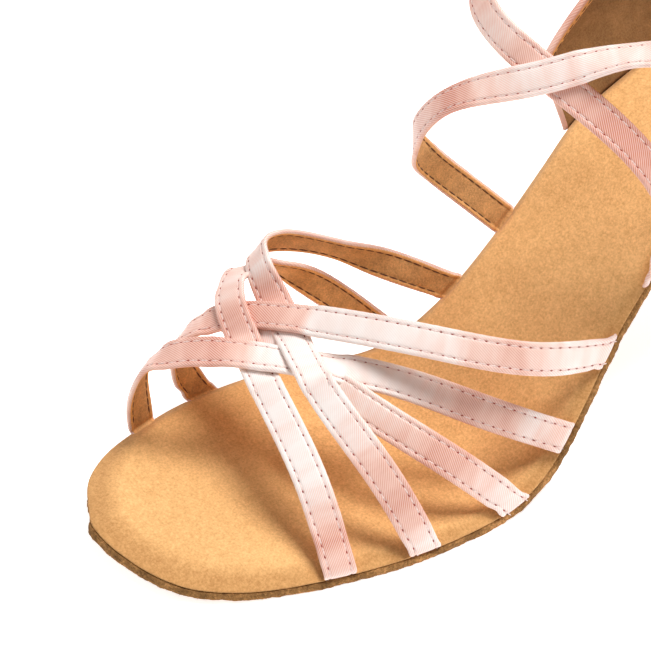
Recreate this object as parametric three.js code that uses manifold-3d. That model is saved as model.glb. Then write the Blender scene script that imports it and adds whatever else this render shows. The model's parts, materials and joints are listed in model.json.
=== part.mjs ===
// Latin dance shoe, left foot: a strap sandal on a high flared heel.
// Millimetres, +Z up, toe towards -Y, the shoe's outer side towards +X.
// The origin is the middle of the heel's underside, on the floor.
import * as THREE from 'three';
import Module from 'manifold-3d';

const wasm = await Module();
wasm.setup();

// Footbed
const LENGTH = 245;
const BALL_WIDTH = 80;
const SEAT_WIDTH = 52;
const PITCH = 42.8;
const SEAT_SLOPE = 12;
const TOE_SPRING = 2.8;
const SPRING_LENGTH = 35;
const FLAT_LENGTH = 81.3;
const BEND_LENGTH = 29.9;
const SHANK_END = 165;
const SEAT_BLEND = 40;
const SOLE_THICK = 1.8;
const INSOLE_THICK = 2.6;
const SOLE_PROUD = 1;
const WAIST_PROUD = 0.4;
const INSOLE_ROUND = 1.6;

// Straps
const STRAP_WIDTH = 8.6;
const STRAP_THICK = 1.6;
const SKIVED = 0.8;
const STRAP_TUCK = 6;
const STRAP_SINK = 0.4;
const TACK = 3;
const INSTEP = 60;

// Heel and counter
const HEEL_STATION = 221;
const BREAST_STATION = 196;
const TIP_THICK = 6;
const TIP_LENGTH = 22;
const TIP_WIDTH = 22;
const COUNTER_FRONT = 172;
const COUNTER_HEIGHT = 52;
const COUNTER_WALL = 2;
const COUNTER_RAKE = 4;
const LAP_LENGTH = 18;

// The straps lean forward over the ball of the foot, up to this station
const FACING_BALL = 130;
const FACING_BLEND = 50;

// Clearance between neighbours
const GAP = 0.3;

// Outline of the insole: station as a share of LENGTH, edges as shares of BALL_WIDTH
const FOREPART = [
  { at: 0.0000, medial: -0.150, lateral: -0.050 },
  { at: 0.0035, medial: -0.185, lateral: 0.010 },
  { at: 0.0102, medial: -0.224, lateral: 0.090 },
  { at: 0.0245, medial: -0.310, lateral: 0.187 },
  { at: 0.0408, medial: -0.370, lateral: 0.249 },
  { at: 0.0792, medial: -0.446, lateral: 0.331 },
  { at: 0.1633, medial: -0.508, lateral: 0.430 },
  { at: 0.2482, medial: -0.503, lateral: 0.489 },
  { at: 0.3253, medial: -0.453, lateral: 0.505 },
  { at: 0.4082, medial: -0.343, lateral: 0.484 },
  { at: 0.4857, medial: -0.286, lateral: 0.433 },
  { at: 0.5714, medial: -0.277, lateral: 0.360 },
  { at: 0.6555, medial: -0.291, lateral: 0.321 },
];
// The heel seat: edges as shares of SEAT_WIDTH
const SEAT = [
  { at: 0.7143, medial: -0.471, lateral: 0.482 },
  { at: 0.7755, medial: -0.465, lateral: 0.500 },
  { at: 0.8571, medial: -0.490, lateral: 0.500 },
  { at: 0.9306, medial: -0.475, lateral: 0.475 },
  { at: 0.9551, medial: -0.415, lateral: 0.415 },
  { at: 0.9755, medial: -0.320, lateral: 0.320 },
  { at: 0.9878, medial: -0.235, lateral: 0.235 },
  { at: 0.9959, medial: -0.140, lateral: 0.140 },
  { at: 1.0000, medial: -0.050, lateral: 0.050 },
];

// Routes of the straps. Each starts at a station on one edge of the insole and ends on the other.
// across is a share of BALL_WIDTH, along of LENGTH, up of INSTEP.
const VAMP_STRAPS = [
  { name: 'first', medial: 0.4122, lateral: 0.1714, route: [
    { across: -0.538, along: 0.307, up: 0.525 },
    { across: -0.516, along: 0.243, up: 0.583 },
    { across: -0.307, along: 0.215, up: 0.548 },
    { across: -0.044, along: 0.197, up: 0.473 },
    { across: 0.213, along: 0.185, up: 0.322 }] },
  { name: 'second', medial: 0.4939, lateral: 0.2612, route: [
    { across: -0.490, along: 0.355, up: 0.621 },
    { across: -0.557, along: 0.289, up: 0.659 },
    { across: -0.340, along: 0.265, up: 0.591 },
    { across: 0.026, along: 0.236, up: 0.554 },
    { across: 0.340, along: 0.240, up: 0.384 }] },
  { name: 'third', medial: 0.3020, lateral: 0.3714, route: [
    { across: -0.515, along: 0.240, up: 0.426 },
    { across: -0.346, along: 0.233, up: 0.538 },
    { across: -0.081, along: 0.249, up: 0.518 },
    { across: 0.186, along: 0.277, up: 0.448 },
    { across: 0.390, along: 0.318, up: 0.318 }] },
  { name: 'fourth', medial: 0.1253, lateral: 0.4571, route: [
    { across: -0.462, along: 0.127, up: 0.397 },
    { across: -0.317, along: 0.173, up: 0.538 },
    { across: -0.106, along: 0.240, up: 0.546 },
    { across: 0.109, along: 0.309, up: 0.515 },
    { across: 0.310, along: 0.374, up: 0.408 }] },
  { name: 'fifth', medial: 0.2020, lateral: 0.5510, route: [
    { across: -0.546, along: 0.182, up: 0.339 },
    { across: -0.415, along: 0.225, up: 0.539 },
    { across: -0.130, along: 0.282, up: 0.657 },
    { across: 0.160, along: 0.341, up: 0.712 },
    { across: 0.359, along: 0.419, up: 0.652 }] },
];
// Pairs of vamp straps that lie on each other
const VAMP_CROSSINGS = [
  ['fourth', 'first'], ['second', 'fourth'], ['first', 'fifth'], ['fifth', 'second'],
  ['first', 'third'], ['fourth', 'third'], ['fifth', 'third'],
];

// The instep straps start at the arch and end on the counter's outer face
const INSTEP_STRAPS = [
  { name: 'over', side: -1, from: 0.5878, to: 0.930, rise: 0.82, route: [
    { across: -0.368, along: 0.477, up: 0.919 },
    { across: -0.338, along: 0.438, up: 1.186 },
    { across: -0.213, along: 0.455, up: 1.456 },
    { across: -0.015, along: 0.513, up: 1.618 },
    { across: 0.160, along: 0.594, up: 1.737 },
    { across: 0.418, along: 0.680, up: 1.790 }] },
  { name: 'under', side: 1, from: 0.6408, to: 0.920, rise: 0.84, route: [
    { across: 0.353, along: 0.583, up: 1.160 },
    { across: 0.223, along: 0.555, up: 1.432 },
    { across: -0.018, along: 0.523, up: 1.617 },
    { across: -0.283, along: 0.514, up: 1.706 },
    { across: -0.467, along: 0.557, up: 1.750 },
    { across: -0.480, along: 0.655, up: 1.750 }] },
];

// Counter: station between its front and the back of the heel, height as a share of COUNTER_HEIGHT,
// belly and lean as shares of SEAT_WIDTH
const COUNTER = [
  { at: 0.00, height: 0.38, belly: 0.030, lean: 0.080 },
  { at: 0.20, height: 0.53, belly: 0.050, lean: 0.078 },
  { at: 0.45, height: 0.74, belly: 0.058, lean: 0.060 },
  { at: 0.73, height: 0.90, belly: 0.067, lean: 0.020 },
  { at: 1.00, height: 1.00, belly: 0.096, lean: -0.040 },
];
const COUNTER_LEVELS = [0, 0.2, 0.42, 0.64, 0.84, 1];

// Heel: level from the tip up to the seat; front and back as shares of TIP_LENGTH from the origin,
// width as a share of TIP_WIDTH; seat tells how much of the form is the seat's own outline
const HEEL = [
  { level: 0.00, front: 0.50, back: 0.50, width: 1.00, seat: 0.00 },
  { level: 0.18, front: 0.44, back: 0.46, width: 0.88, seat: 0.00 },
  { level: 0.42, front: 0.40, back: 0.47, width: 0.86, seat: 0.02 },
  { level: 0.62, front: 0.43, back: 0.58, width: 1.02, seat: 0.08 },
  { level: 0.78, front: 0.55, back: 0.76, width: 1.30, seat: 0.22 },
  { level: 0.90, front: 0.74, back: 0.94, width: 1.65, seat: 0.52 },
];

const rad = THREE.MathUtils.degToRad;
const smooth = (t) => {
  const c = THREE.MathUtils.clamp(t, 0, 1);
  return c * c * (3 - 2 * c);
};

// Natural cubic spline through equally spaced values
function spline(values) {
  const n = values.length;
  const bend = new Array(n).fill(0);
  const run = new Array(n).fill(0);
  for (let i = 1; i < n - 1; i += 1) {
    const p = 4 + run[i - 1];
    run[i] = -1 / p;
    bend[i] = (6 * (values[i + 1] - 2 * values[i] + values[i - 1]) - bend[i - 1]) / p;
  }
  for (let i = n - 2; i > 0; i -= 1) bend[i] += run[i] * bend[i + 1];
  return (t) => {
    const u = THREE.MathUtils.clamp(t, 0, 1) * (n - 1);
    const i = Math.min(Math.floor(u), n - 2);
    const b = u - i;
    const a = 1 - b;
    return a * values[i] + b * values[i + 1]
      + ((a * a * a - a) * bend[i] + (b * b * b - b) * bend[i + 1]) / 6;
  };
}

// Smooth interpolation in a table whose first column grows
function column(rows, key, name) {
  const slope = rows.map((row, i) => {
    const a = rows[Math.max(i - 1, 0)];
    const b = rows[Math.min(i + 1, rows.length - 1)];
    return (b[name] - a[name]) / (b[key] - a[key]);
  });
  return (x) => {
    let i = 0;
    while (i < rows.length - 2 && x > rows[i + 1][key]) i += 1;
    const h = rows[i + 1][key] - rows[i][key];
    const t = THREE.MathUtils.clamp((x - rows[i][key]) / h, 0, 1);
    const t2 = t * t;
    const t3 = t2 * t;
    return (2 * t3 - 3 * t2 + 1) * rows[i][name] + (t3 - 2 * t2 + t) * h * slope[i]
      + (3 * t2 - 2 * t3) * rows[i + 1][name] + (t3 - t2) * h * slope[i + 1];
  };
}

// Side view of the footbed: slope of its top at each station, then its place by summing up
function slopeAt(s) {
  const rise = rad(PITCH) * smooth((s - FLAT_LENGTH) / BEND_LENGTH);
  const fall = (rad(SEAT_SLOPE) - rad(PITCH)) * smooth((s - SHANK_END) / SEAT_BLEND);
  const spring = Math.atan(2 * TOE_SPRING / SPRING_LENGTH
    * THREE.MathUtils.clamp((SPRING_LENGTH - s) / SPRING_LENGTH, 0, 1));
  return rise + fall - spring;
}
const STEPS = 490;
const bed = [{ y: 0, z: 0 }];
for (let i = 1; i <= STEPS; i += 1) {
  const ds = LENGTH / STEPS;
  const a = slopeAt((i - 0.5) * ds);
  bed.push({ y: bed[i - 1].y + Math.cos(a) * ds, z: bed[i - 1].z + Math.sin(a) * ds });
}
const bedAt = (s) => {
  const u = s / LENGTH * STEPS;
  const i = THREE.MathUtils.clamp(Math.floor(u), 0, STEPS - 1);
  return {
    y: THREE.MathUtils.lerp(bed[i].y, bed[i + 1].y, u - i),
    z: THREE.MathUtils.lerp(bed[i].z, bed[i + 1].z, u - i),
  };
};
const TOP = SOLE_THICK + GAP + INSOLE_THICK;
const FLAT = bedAt((SPRING_LENGTH + FLAT_LENGTH) / 2);
const HEEL_Y = bedAt(HEEL_STATION).y;

// A point of the footbed: station, distance to the outer side, depth under the top
function onBed(s, x, depth) {
  const p = bedAt(s);
  const a = slopeAt(THREE.MathUtils.clamp(s, 0, LENGTH));
  return new THREE.Vector3(x,
    p.y - HEEL_Y + Math.sin(a) * depth,
    p.z - FLAT.z + TOP - Math.cos(a) * depth);
}
const bedNormal = (s) => new THREE.Vector3(0, -Math.sin(slopeAt(s)), Math.cos(slopeAt(s)));

// The insole's outline in the footbed's own plane
const outlineRows = [
  ...FOREPART.map((r) => ({
    s: r.at * LENGTH, medial: r.medial * BALL_WIDTH, lateral: r.lateral * BALL_WIDTH })),
  ...SEAT.map((r) => ({
    s: r.at * LENGTH, medial: r.medial * SEAT_WIDTH, lateral: r.lateral * SEAT_WIDTH })),
];
const medialAt = column(outlineRows, 's', 'medial');
const lateralAt = column(outlineRows, 's', 'lateral');
const edgeAt = (s, side) => (side < 0 ? medialAt(s) : lateralAt(s));

// Outward direction of the outline at a station and side, as station and across
function outward(s, side) {
  const d = LENGTH / 600;
  const a = THREE.MathUtils.clamp(s - d, 0, LENGTH);
  const b = THREE.MathUtils.clamp(s + d, 0, LENGTH);
  const v = new THREE.Vector2(-(edgeAt(b, side) - edgeAt(a, side)), b - a).multiplyScalar(side);
  if (s < d) v.x = -Math.abs(v.x) - 3 * d;
  if (s > LENGTH - d) v.x = Math.abs(v.x) + 3 * d;
  return v.normalize();
}
function edgePoint(s, side, out, depth) {
  const n = outward(s, side);
  return onBed(s + n.x * out, edgeAt(s, side) + n.y * out, depth);
}

// Stations shared by all that follows the footbed, so that neighbours bend alike
const SOLE_END = BREAST_STATION - 3 * GAP;
const FACET = 5;
const marks = [...outlineRows.map((r) => r.s), SOLE_END, BREAST_STATION, COUNTER_FRONT]
  .sort((a, b) => a - b);
const stations = [marks[0]];
for (const mark of marks.slice(1)) {
  const last = stations[stations.length - 1];
  const count = Math.max(1, Math.round((mark - last) / FACET));
  for (let k = 1; k <= count; k += 1) stations.push(last + (mark - last) * k / count);
}
const stationsIn = (from, to) => stations.filter((s) => s > from - 1e-6 && s < to + 1e-6);

// A closed body from rings of equal length; the first and last ring are closed by strips
function loft(rings, capped = true) {
  const size = rings[0].length;
  const points = rings.flat();
  const index = [];
  const quad = (a, b, c, d) => index.push(a, b, c, a, c, d);
  for (let r = 0; r < rings.length - 1; r += 1) {
    for (let k = 0; k < size; k += 1) {
      const next = (k + 1) % size;
      quad(r * size + k, r * size + next, (r + 1) * size + next, (r + 1) * size + k);
    }
  }
  const last = (rings.length - 1) * size;
  if (capped) {
    for (let k = 0; k < size / 2 - 1; k += 1) {
      quad(size - 1 - k, size - 2 - k, k + 1, k);
      quad(last + k, last + k + 1, last + size - 2 - k, last + size - 1 - k);
    }
  }
  return body(points, index);
}
function body(points, index) {
  let volume = 0;
  for (let i = 0; i < index.length; i += 3) {
    const [a, b, c] = [points[index[i]], points[index[i + 1]], points[index[i + 2]]];
    volume += a.dot(b.clone().cross(c));
  }
  if (volume < 0) index.reverse();
  const mesh = new wasm.Mesh({
    numProp: 3,
    vertProperties: new Float32Array(points.flatMap((p) => [p.x, p.y, p.z])),
    triVerts: new Uint32Array(index),
  });
  mesh.merge();
  return new wasm.Manifold(mesh);
}
function geometryOf(solid) {
  const bodies = solid.simplify(0.02).decompose();
  const mesh = bodies.reduce((a, b) => (a.volume() > b.volume() ? a : b)).getMesh();
  const geometry = new THREE.BufferGeometry();
  const places = [];
  for (let i = 0; i < mesh.vertProperties.length; i += mesh.numProp) {
    places.push(...mesh.vertProperties.slice(i, i + 3));
  }
  geometry.setAttribute('position', new THREE.Float32BufferAttribute(places, 3));
  geometry.setIndex(Array.from(mesh.triVerts));
  geometry.computeVertexNormals();
  return geometry;
}

// A plate that follows the footbed; rim lists how far each level of its edge stands out
function plate(from, to, rim) {
  const rings = stationsIn(from, to).map((s) => {
    const side = (k) => rim.map((r) => edgePoint(s, k, r.out(s, k), r.depth));
    return [...side(-1), ...side(1).reverse()];
  });
  return loft(rings);
}

// Insole, with a rounded rim
const insoleRim = [
  { out: () => -INSOLE_ROUND * 0.4, depth: INSOLE_THICK },
  { out: () => 0, depth: INSOLE_THICK - INSOLE_ROUND * 0.4 },
  { out: () => 0, depth: INSOLE_ROUND * 0.75 },
  { out: () => -INSOLE_ROUND * 0.3, depth: INSOLE_ROUND * 0.25 },
  { out: () => -INSOLE_ROUND, depth: 0 },
];
let insole = plate(0, LENGTH, insoleRim);

// Outsole, a thin sheet from the toe to the heel's breast
const soleTop = INSOLE_THICK + GAP;
const proudAt = (s, side) => {
  const waist = smooth((s - FLAT_LENGTH) / BEND_LENGTH);
  const wide = SOLE_PROUD * (0.7 + 0.3 * outward(s, side).y);
  return THREE.MathUtils.lerp(wide, WAIST_PROUD, waist);
};
const outsole = plate(0, SOLE_END, [
  { out: (s, k) => proudAt(s, k) - SOLE_THICK * 0.1, depth: soleTop + SOLE_THICK },
  { out: (s, k) => proudAt(s, k), depth: soleTop + SOLE_THICK * 0.8 },
  { out: (s, k) => proudAt(s, k), depth: soleTop },
]);

// Straps: a centre line, the way each of its points faces, and a flat section swept along it
function facing(point) {
  let s = 0;
  while (s < LENGTH && bedAt(s).y - HEEL_Y < point.y) s += 1;
  const floor = onBed(s, 0, 0).z;
  const inner = new THREE.Vector3(medialAt(s) + BALL_WIDTH * 0.08, point.y, floor + INSTEP * 0.25);
  const outer = new THREE.Vector3(lateralAt(s) - BALL_WIDTH * 0.15, point.y, floor + INSTEP * 0.08);
  const core = new THREE.Line3(inner, outer).closestPointToPoint(point, true, new THREE.Vector3());
  const v = point.clone().sub(core);
  const lean = 0.7 * (1 - smooth((s - FACING_BALL) / FACING_BLEND))
    + 0.4 * Math.tan(0.6 * slopeAt(THREE.MathUtils.clamp(s, 0, LENGTH)));
  v.y = -lean * Math.max(v.z, 0);
  return v.normalize();
}
const HALF = STRAP_THICK / 2;
const UNDER = INSOLE_THICK - SKIVED / 2 - 1.7 * GAP;
const FOOT_DEPTH = HALF - 0.2;
// The strap's end, pared thin, turns round the insole's edge into a slot under it
function tuck(s, side, heading) {
  const flat = outward(s, side);
  const slope = slopeAt(s);
  const out = new THREE.Vector3(flat.y, flat.x * Math.cos(slope), flat.x * Math.sin(slope));
  const edgeOn = (a) => new THREE.Vector3(-flat.x, flat.y * Math.cos(a), flat.y * Math.sin(a));
  const lean = heading.dot(edgeOn(slope));
  const slide = THREE.MathUtils.clamp(lean / Math.sqrt(1 - lean ** 2), -0.9, 0.9);
  const spread = 1 / Math.sqrt(1 - Math.min(lean ** 2, 0.45));
  const at = (t) => {
    const along = s + flat.x * t.out + flat.y * slide * t.run;
    const across = edgeAt(s, side) + flat.y * t.out - flat.x * slide * t.run;
    return {
      place: onBed(along, across, t.depth),
      thick: t.thick ?? STRAP_THICK,
      wide: edgeOn(slopeAt(along)).multiplyScalar(spread),
      face: out.clone().multiplyScalar(Math.cos(t.face * Math.PI / 2))
        .addScaledVector(bedNormal(along), -Math.sin(t.face * Math.PI / 2)),
    };
  };
  const bend = STRAP_THICK * 0.7;
  const down = FOOT_DEPTH + 0.55;
  const turn = 1.9;
  return {
    band: [
      { out: STRAP_SINK, depth: down, face: 0, run: 0.5, thick: (STRAP_THICK + SKIVED) / 2 },
      { out: STRAP_SINK - 0.35, depth: UNDER - 0.25, face: 0.5, run: 1.1, thick: SKIVED },
      { out: -bend, depth: UNDER, face: 1, run: turn, thick: SKIVED },
      { out: -STRAP_TUCK, depth: UNDER, face: 1, run: turn + STRAP_TUCK - bend, thick: SKIVED },
    ].map(at),
    wall: [
      { out: STRAP_SINK, depth: down, face: 0, run: 0.5 },
      { out: STRAP_SINK, depth: INSOLE_THICK * 2, face: 0, run: 0.5 + INSOLE_THICK * 2 - down },
    ].map(at),
    floor: [
      { out: bend, depth: UNDER, face: 1, run: turn - 2 * bend },
      { out: -STRAP_TUCK - 2 * GAP, depth: UNDER, face: 1, run: turn + STRAP_TUCK + 2 * GAP - bend },
    ].map(at),
  };
}
const foot = (s, side) => edgePoint(s, side, STRAP_SINK, FOOT_DEPTH);
const routePoint = (r) => new THREE.Vector3(
  r.across * BALL_WIDTH, r.along * LENGTH - HEEL_Y, r.up * INSTEP);
function smoothLine(points, count) {
  const x = spline(points.map((p) => p.x));
  const y = spline(points.map((p) => p.y));
  const z = spline(points.map((p) => p.z));
  return Array.from({ length: count + 1 }, (_, i) => {
    const t = i / count;
    return new THREE.Vector3(x(t), y(t), z(t));
  });
}
function sweep(line, width, thick = null, cover = 0) {
  const rings = line.map((p, i) => {
    const a = line[Math.max(i - 1, 0)].place;
    const b = line[Math.min(i + 1, line.length - 1)].place;
    const run = b.clone().sub(a).normalize();
    const up = p.face.clone().addScaledVector(run, -p.face.dot(run)).normalize();
    const wide = run.clone().cross(up);
    if (p.wide) {
      const sign = Math.sign(p.wide.dot(wide));
      wide.copy(p.wide).multiplyScalar(sign);
    }
    const half = (thick ?? p.thick ?? STRAP_THICK) / 2;
    const corner = (u, v) => p.place.clone().addScaledVector(wide, u * width / 2)
      .addScaledVector(up, v * half);
    const high = 1 + cover;
    return [corner(-1, -1), corner(-1, high), corner(1, high), corner(1, -1)];
  });
  return loft(rings);
}
const SEGMENTS = 22;
function withFaces(places, starts, ends) {
  const turn = 0.16;
  return places.map((place, i) => {
    const t = i / (places.length - 1);
    const face = facing(place);
    face.lerp(starts.face, 1 - smooth(t / turn)).lerp(ends.face, 1 - smooth((1 - t - (ends.hold ?? 0)) / turn));
    const wide = (i === 0 && starts.wide) || (t === 1 && ends.wide) || null;
    return { place, face: face.normalize(), wide };
  });
}
const slots = [];
function vampStrap(strap) {
  const sm = strap.medial * LENGTH;
  const sl = strap.lateral * LENGTH;
  const places = smoothLine([foot(sm, -1), ...strap.route.map(routePoint), foot(sl, 1)], SEGMENTS);
  const inner = tuck(sm, -1, places[0].clone().sub(places[1]).normalize());
  const outer = tuck(sl, 1, places[SEGMENTS].clone().sub(places[SEGMENTS - 1]).normalize());
  const middle = withFaces(places, inner.band[0], outer.band[0]);
  slots.push({ line: [middle[1], middle[0], ...inner.wall], thick: STRAP_THICK },
    { line: inner.floor, thick: SKIVED });
  slots.push({ line: [...middle.slice(-2), ...outer.wall], thick: STRAP_THICK },
    { line: outer.floor, thick: SKIVED });
  return [...[...inner.band].reverse(), ...middle, ...outer.band];
}

// Counter: its outer face at a station, a side and a level above the insole's underside
const counterSpan = LENGTH - COUNTER_FRONT;
const counterTable = {};
for (const name of ['height', 'belly', 'lean']) counterTable[name] = column(COUNTER, 'at', name);
function counterFace(s, side, level, out) {
  const at = (s - COUNTER_FRONT) / counterSpan;
  const height = counterTable.height(at) * COUNTER_HEIGHT + INSOLE_THICK;
  const ahead = COUNTER_RAKE * level * (1 - at) ** 2;
  const swell = counterTable.belly(at) * Math.sin(level * Math.PI)
    + counterTable.lean(at) * smooth(level);
  const base = edgePoint(s, side, GAP + out + swell * SEAT_WIDTH, INSOLE_THICK);
  base.y -= ahead;
  base.z += height * level;
  return base;
}
const counterStations = stationsIn(COUNTER_FRONT, LENGTH);
const counterWalk = [
  ...counterStations.map((s) => ({ s, side: -1 })),
  ...[...counterStations].reverse().map((s) => ({ s, side: 1 })),
];
const counter = loft(counterWalk.map(({ s, side }) => [
  ...COUNTER_LEVELS.map((v) => counterFace(s, side, v, COUNTER_WALL)),
  ...[...COUNTER_LEVELS].reverse().map((v) => counterFace(s, side, v, 0)),
]));

// Instep straps: from a slot at the arch over the instep to a lap on the counter
function lapPoint(strap, k) {
  const side = -strap.side;
  const at = strap.to * LENGTH - LAP_LENGTH * (1 - k);
  const level = strap.rise - 0.1 * k;
  const place = counterFace(at, side, level, COUNTER_WALL + HALF + GAP * (6 - 3 * k));
  const up = counterFace(at, side, level + 0.1, 0).sub(counterFace(at, side, level - 0.1, 0));
  const run = counterFace(at + 2, side, level, 0).sub(counterFace(at - 2, side, level, 0));
  return { place, face: run.cross(up).normalize().multiplyScalar(side), hold: 0.14 };
}
function instepStrap(strap) {
  const s = strap.from * LENGTH;
  const lap = [0, 0.5, 1].map((k) => lapPoint(strap, k));
  const points = [foot(s, strap.side), ...strap.route.map(routePoint), ...lap.map((p) => p.place)];
  const places = smoothLine(points, SEGMENTS + 8);
  const start = tuck(s, strap.side, places[0].clone().sub(places[1]).normalize());
  const line = withFaces(places, start.band[0], lap[1]);
  slots.push({ line: [line[1], line[0], ...start.wall], thick: STRAP_THICK },
    { line: start.floor, thick: SKIVED });
  return [...[...start.band].reverse(), ...line];
}

// Where two straps cross they are tacked together
function tackOf(first, second) {
  let best = null;
  for (const a of first) {
    for (const b of second) {
      const d = a.place.distanceTo(b.place);
      if (!best || d < best.d) best = { d, a, b };
    }
  }
  const mid = best.a.place.clone().add(best.b.place).multiplyScalar(0.5);
  const up = best.a.face.clone().add(best.b.face).normalize();
  const wide = new THREE.Vector3(0, 1, 0).cross(up).normalize();
  const deep = up.clone().cross(wide);
  const reach = best.d / 2;
  const ring = (h) => [[-1, -1], [-1, 1], [1, 1], [1, -1]].map(([u, v]) => mid.clone()
    .addScaledVector(wide, u * TACK / 2).addScaledVector(deep, v * TACK / 2)
    .addScaledVector(up, h * reach));
  return loft([ring(-1), ring(1)]);
}
function joined(table, build, crossings) {
  const lines = table.map(build);
  const straps = lines.map((line) => sweep(line, STRAP_WIDTH));
  let whole = straps[0];
  for (const strap of straps.slice(1)) whole = whole.add(strap);
  for (const pair of crossings) {
    const [a, b] = pair.map((name) => fine(lines[table.findIndex((row) => row.name === name)]));
    whole = whole.add(tackOf(a, b));
  }
  return whole;
}
function fine(line) {
  const list = [];
  for (let i = 4; i < line.length - 5; i += 1) {
    for (let k = 0; k < 4; k += 1) {
      const t = k / 4;
      list.push({
        place: line[i].place.clone().lerp(line[i + 1].place, t),
        face: line[i].face.clone().lerp(line[i + 1].face, t),
      });
    }
  }
  return list;
}
const vampStraps = joined(VAMP_STRAPS, vampStrap, VAMP_CROSSINGS);
const instepStraps = joined(INSTEP_STRAPS, instepStrap, [['over', 'under']]);

// Slots for the strap ends, open to the outside
for (const slot of slots) {
  insole = insole.subtract(sweep(slot.line, STRAP_WIDTH + 3 * GAP, slot.thick + 2 * GAP, 1.5));
}


// Heel: rings from the tip up to the seat, each from the breast round the back
const seatDepth = INSOLE_THICK + GAP;
const seatStations = stationsIn(BREAST_STATION, LENGTH);
const seatRing = (side) => seatStations.map((s) => edgePoint(s, side, GAP + COUNTER_WALL, seatDepth));
const levelValue = {};
for (const name of ['front', 'back', 'width', 'seat']) levelValue[name] = column(HEEL, 'level', name);
function tipRing(side, front, back, width, z) {
  return seatStations.map((_, i) => {
    const a = Math.PI * i / (seatStations.length - 1);
    const c = -Math.cos(a);
    const x = Math.sign(side) * width / 2 * Math.max(Math.sin(a), 0) ** 0.7;
    const y = c < 0 ? c * front : c * back;
    const squared = c < 0 ? Math.sign(side) * width / 2 * Math.min(1, 0.72 + 0.3 * (1 + c)) : x;
    return new THREE.Vector3(squared, y, z);
  });
}
const heelLevels = [0, 0.09, 0.18, 0.3, 0.42, 0.52, 0.62, 0.7, 0.78, 0.84, 0.9];
const heelSide = (side, level) => {
  const top = seatRing(side);
  const z0 = TIP_THICK + GAP;
  const k = levelValue.seat(level);
  const ring = tipRing(side, levelValue.front(level) * TIP_LENGTH,
    levelValue.back(level) * TIP_LENGTH, levelValue.width(level) * TIP_WIDTH, 0);
  return ring.map((p, i) => {
    const z = THREE.MathUtils.lerp(z0, top[i].z, level);
    return new THREE.Vector3(
      THREE.MathUtils.lerp(p.x, top[i].x, k),
      THREE.MathUtils.lerp(p.y, top[i].y, k),
      z);
  });
};
const heelRings = heelLevels.map((level) => [
  ...heelSide(-1, level), ...heelSide(1, level).reverse()]);
heelRings.push([...seatRing(-1), ...seatRing(1).reverse()]);
const heel = loft(heelRings);

// Heel tip, a hard flat piece of the heel's own outline
const tipSide = (side, z) => tipRing(side, HEEL[0].front * TIP_LENGTH,
  HEEL[0].back * TIP_LENGTH, HEEL[0].width * TIP_WIDTH, z);
const heelTip = loft([0, TIP_THICK].map((z) => [
  ...tipSide(-1, z), ...tipSide(1, z).reverse()]));

// The finished shoe
const material = (color, roughness, metalness = 0) => new THREE.MeshStandardMaterial({
  color, roughness, metalness });
const satin = material('#f3cabf', 0.38);
const suede = material('#d9a56a', 0.92);
const rawSuede = material('#6b4a28', 0.97);
const plastic = material('#3a2a22', 0.5);

const shoe = new THREE.Group();
function add(name, solid, look) {
  const mesh = new THREE.Mesh(geometryOf(solid), look);
  mesh.name = name;
  shoe.add(mesh);
}
add('outsole', outsole, rawSuede);
add('insole', insole, suede);
add('heel', heel, satin);
add('heel_tip', heelTip, plastic);
add('counter', counter, satin);
add('vamp_straps', vampStraps, satin);
add('instep_straps', instepStraps, satin);

export default shoe;
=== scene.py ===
"""Latin dance shoe, left foot: satin straps over a suede footbed, on a flared heel.

Lengths in the shapes are millimetres on the shoe: station runs along the footbed from the
toe, across runs towards the outer side, depth runs down from the top of the insole.
"""

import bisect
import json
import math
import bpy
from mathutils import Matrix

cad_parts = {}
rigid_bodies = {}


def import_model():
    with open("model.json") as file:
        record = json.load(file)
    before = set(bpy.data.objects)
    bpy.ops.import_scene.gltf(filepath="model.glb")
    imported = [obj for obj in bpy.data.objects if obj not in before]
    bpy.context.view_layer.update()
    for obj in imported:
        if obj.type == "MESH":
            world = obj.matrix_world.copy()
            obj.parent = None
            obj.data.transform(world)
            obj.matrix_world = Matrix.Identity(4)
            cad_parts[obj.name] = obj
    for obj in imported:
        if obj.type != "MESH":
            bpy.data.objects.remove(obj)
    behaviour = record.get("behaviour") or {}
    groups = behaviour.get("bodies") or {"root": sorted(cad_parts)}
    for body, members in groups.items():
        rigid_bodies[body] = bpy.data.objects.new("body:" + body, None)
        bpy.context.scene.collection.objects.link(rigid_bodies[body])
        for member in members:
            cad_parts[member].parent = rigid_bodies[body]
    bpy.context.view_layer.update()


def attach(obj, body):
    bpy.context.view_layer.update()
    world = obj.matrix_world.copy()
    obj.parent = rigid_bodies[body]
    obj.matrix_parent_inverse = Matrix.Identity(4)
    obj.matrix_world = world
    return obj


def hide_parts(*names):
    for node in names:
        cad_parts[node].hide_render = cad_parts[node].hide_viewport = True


bl_info = {
    "name": "Latin dance shoe",
    "version": (1, 0, 0),
    "blender": (4, 5, 0),
    "location": "View3D > Sidebar > Dance Shoe",
    "description": "Makes a satin strap sandal for latin dance over its fixed frame",
    "category": "Add Mesh",
}

import bmesh
import bpy
from bpy.props import FloatProperty, FloatVectorProperty, IntProperty, PointerProperty
from bpy.types import Operator, Panel, PropertyGroup
from mathutils import Matrix, Vector, noise

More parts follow.
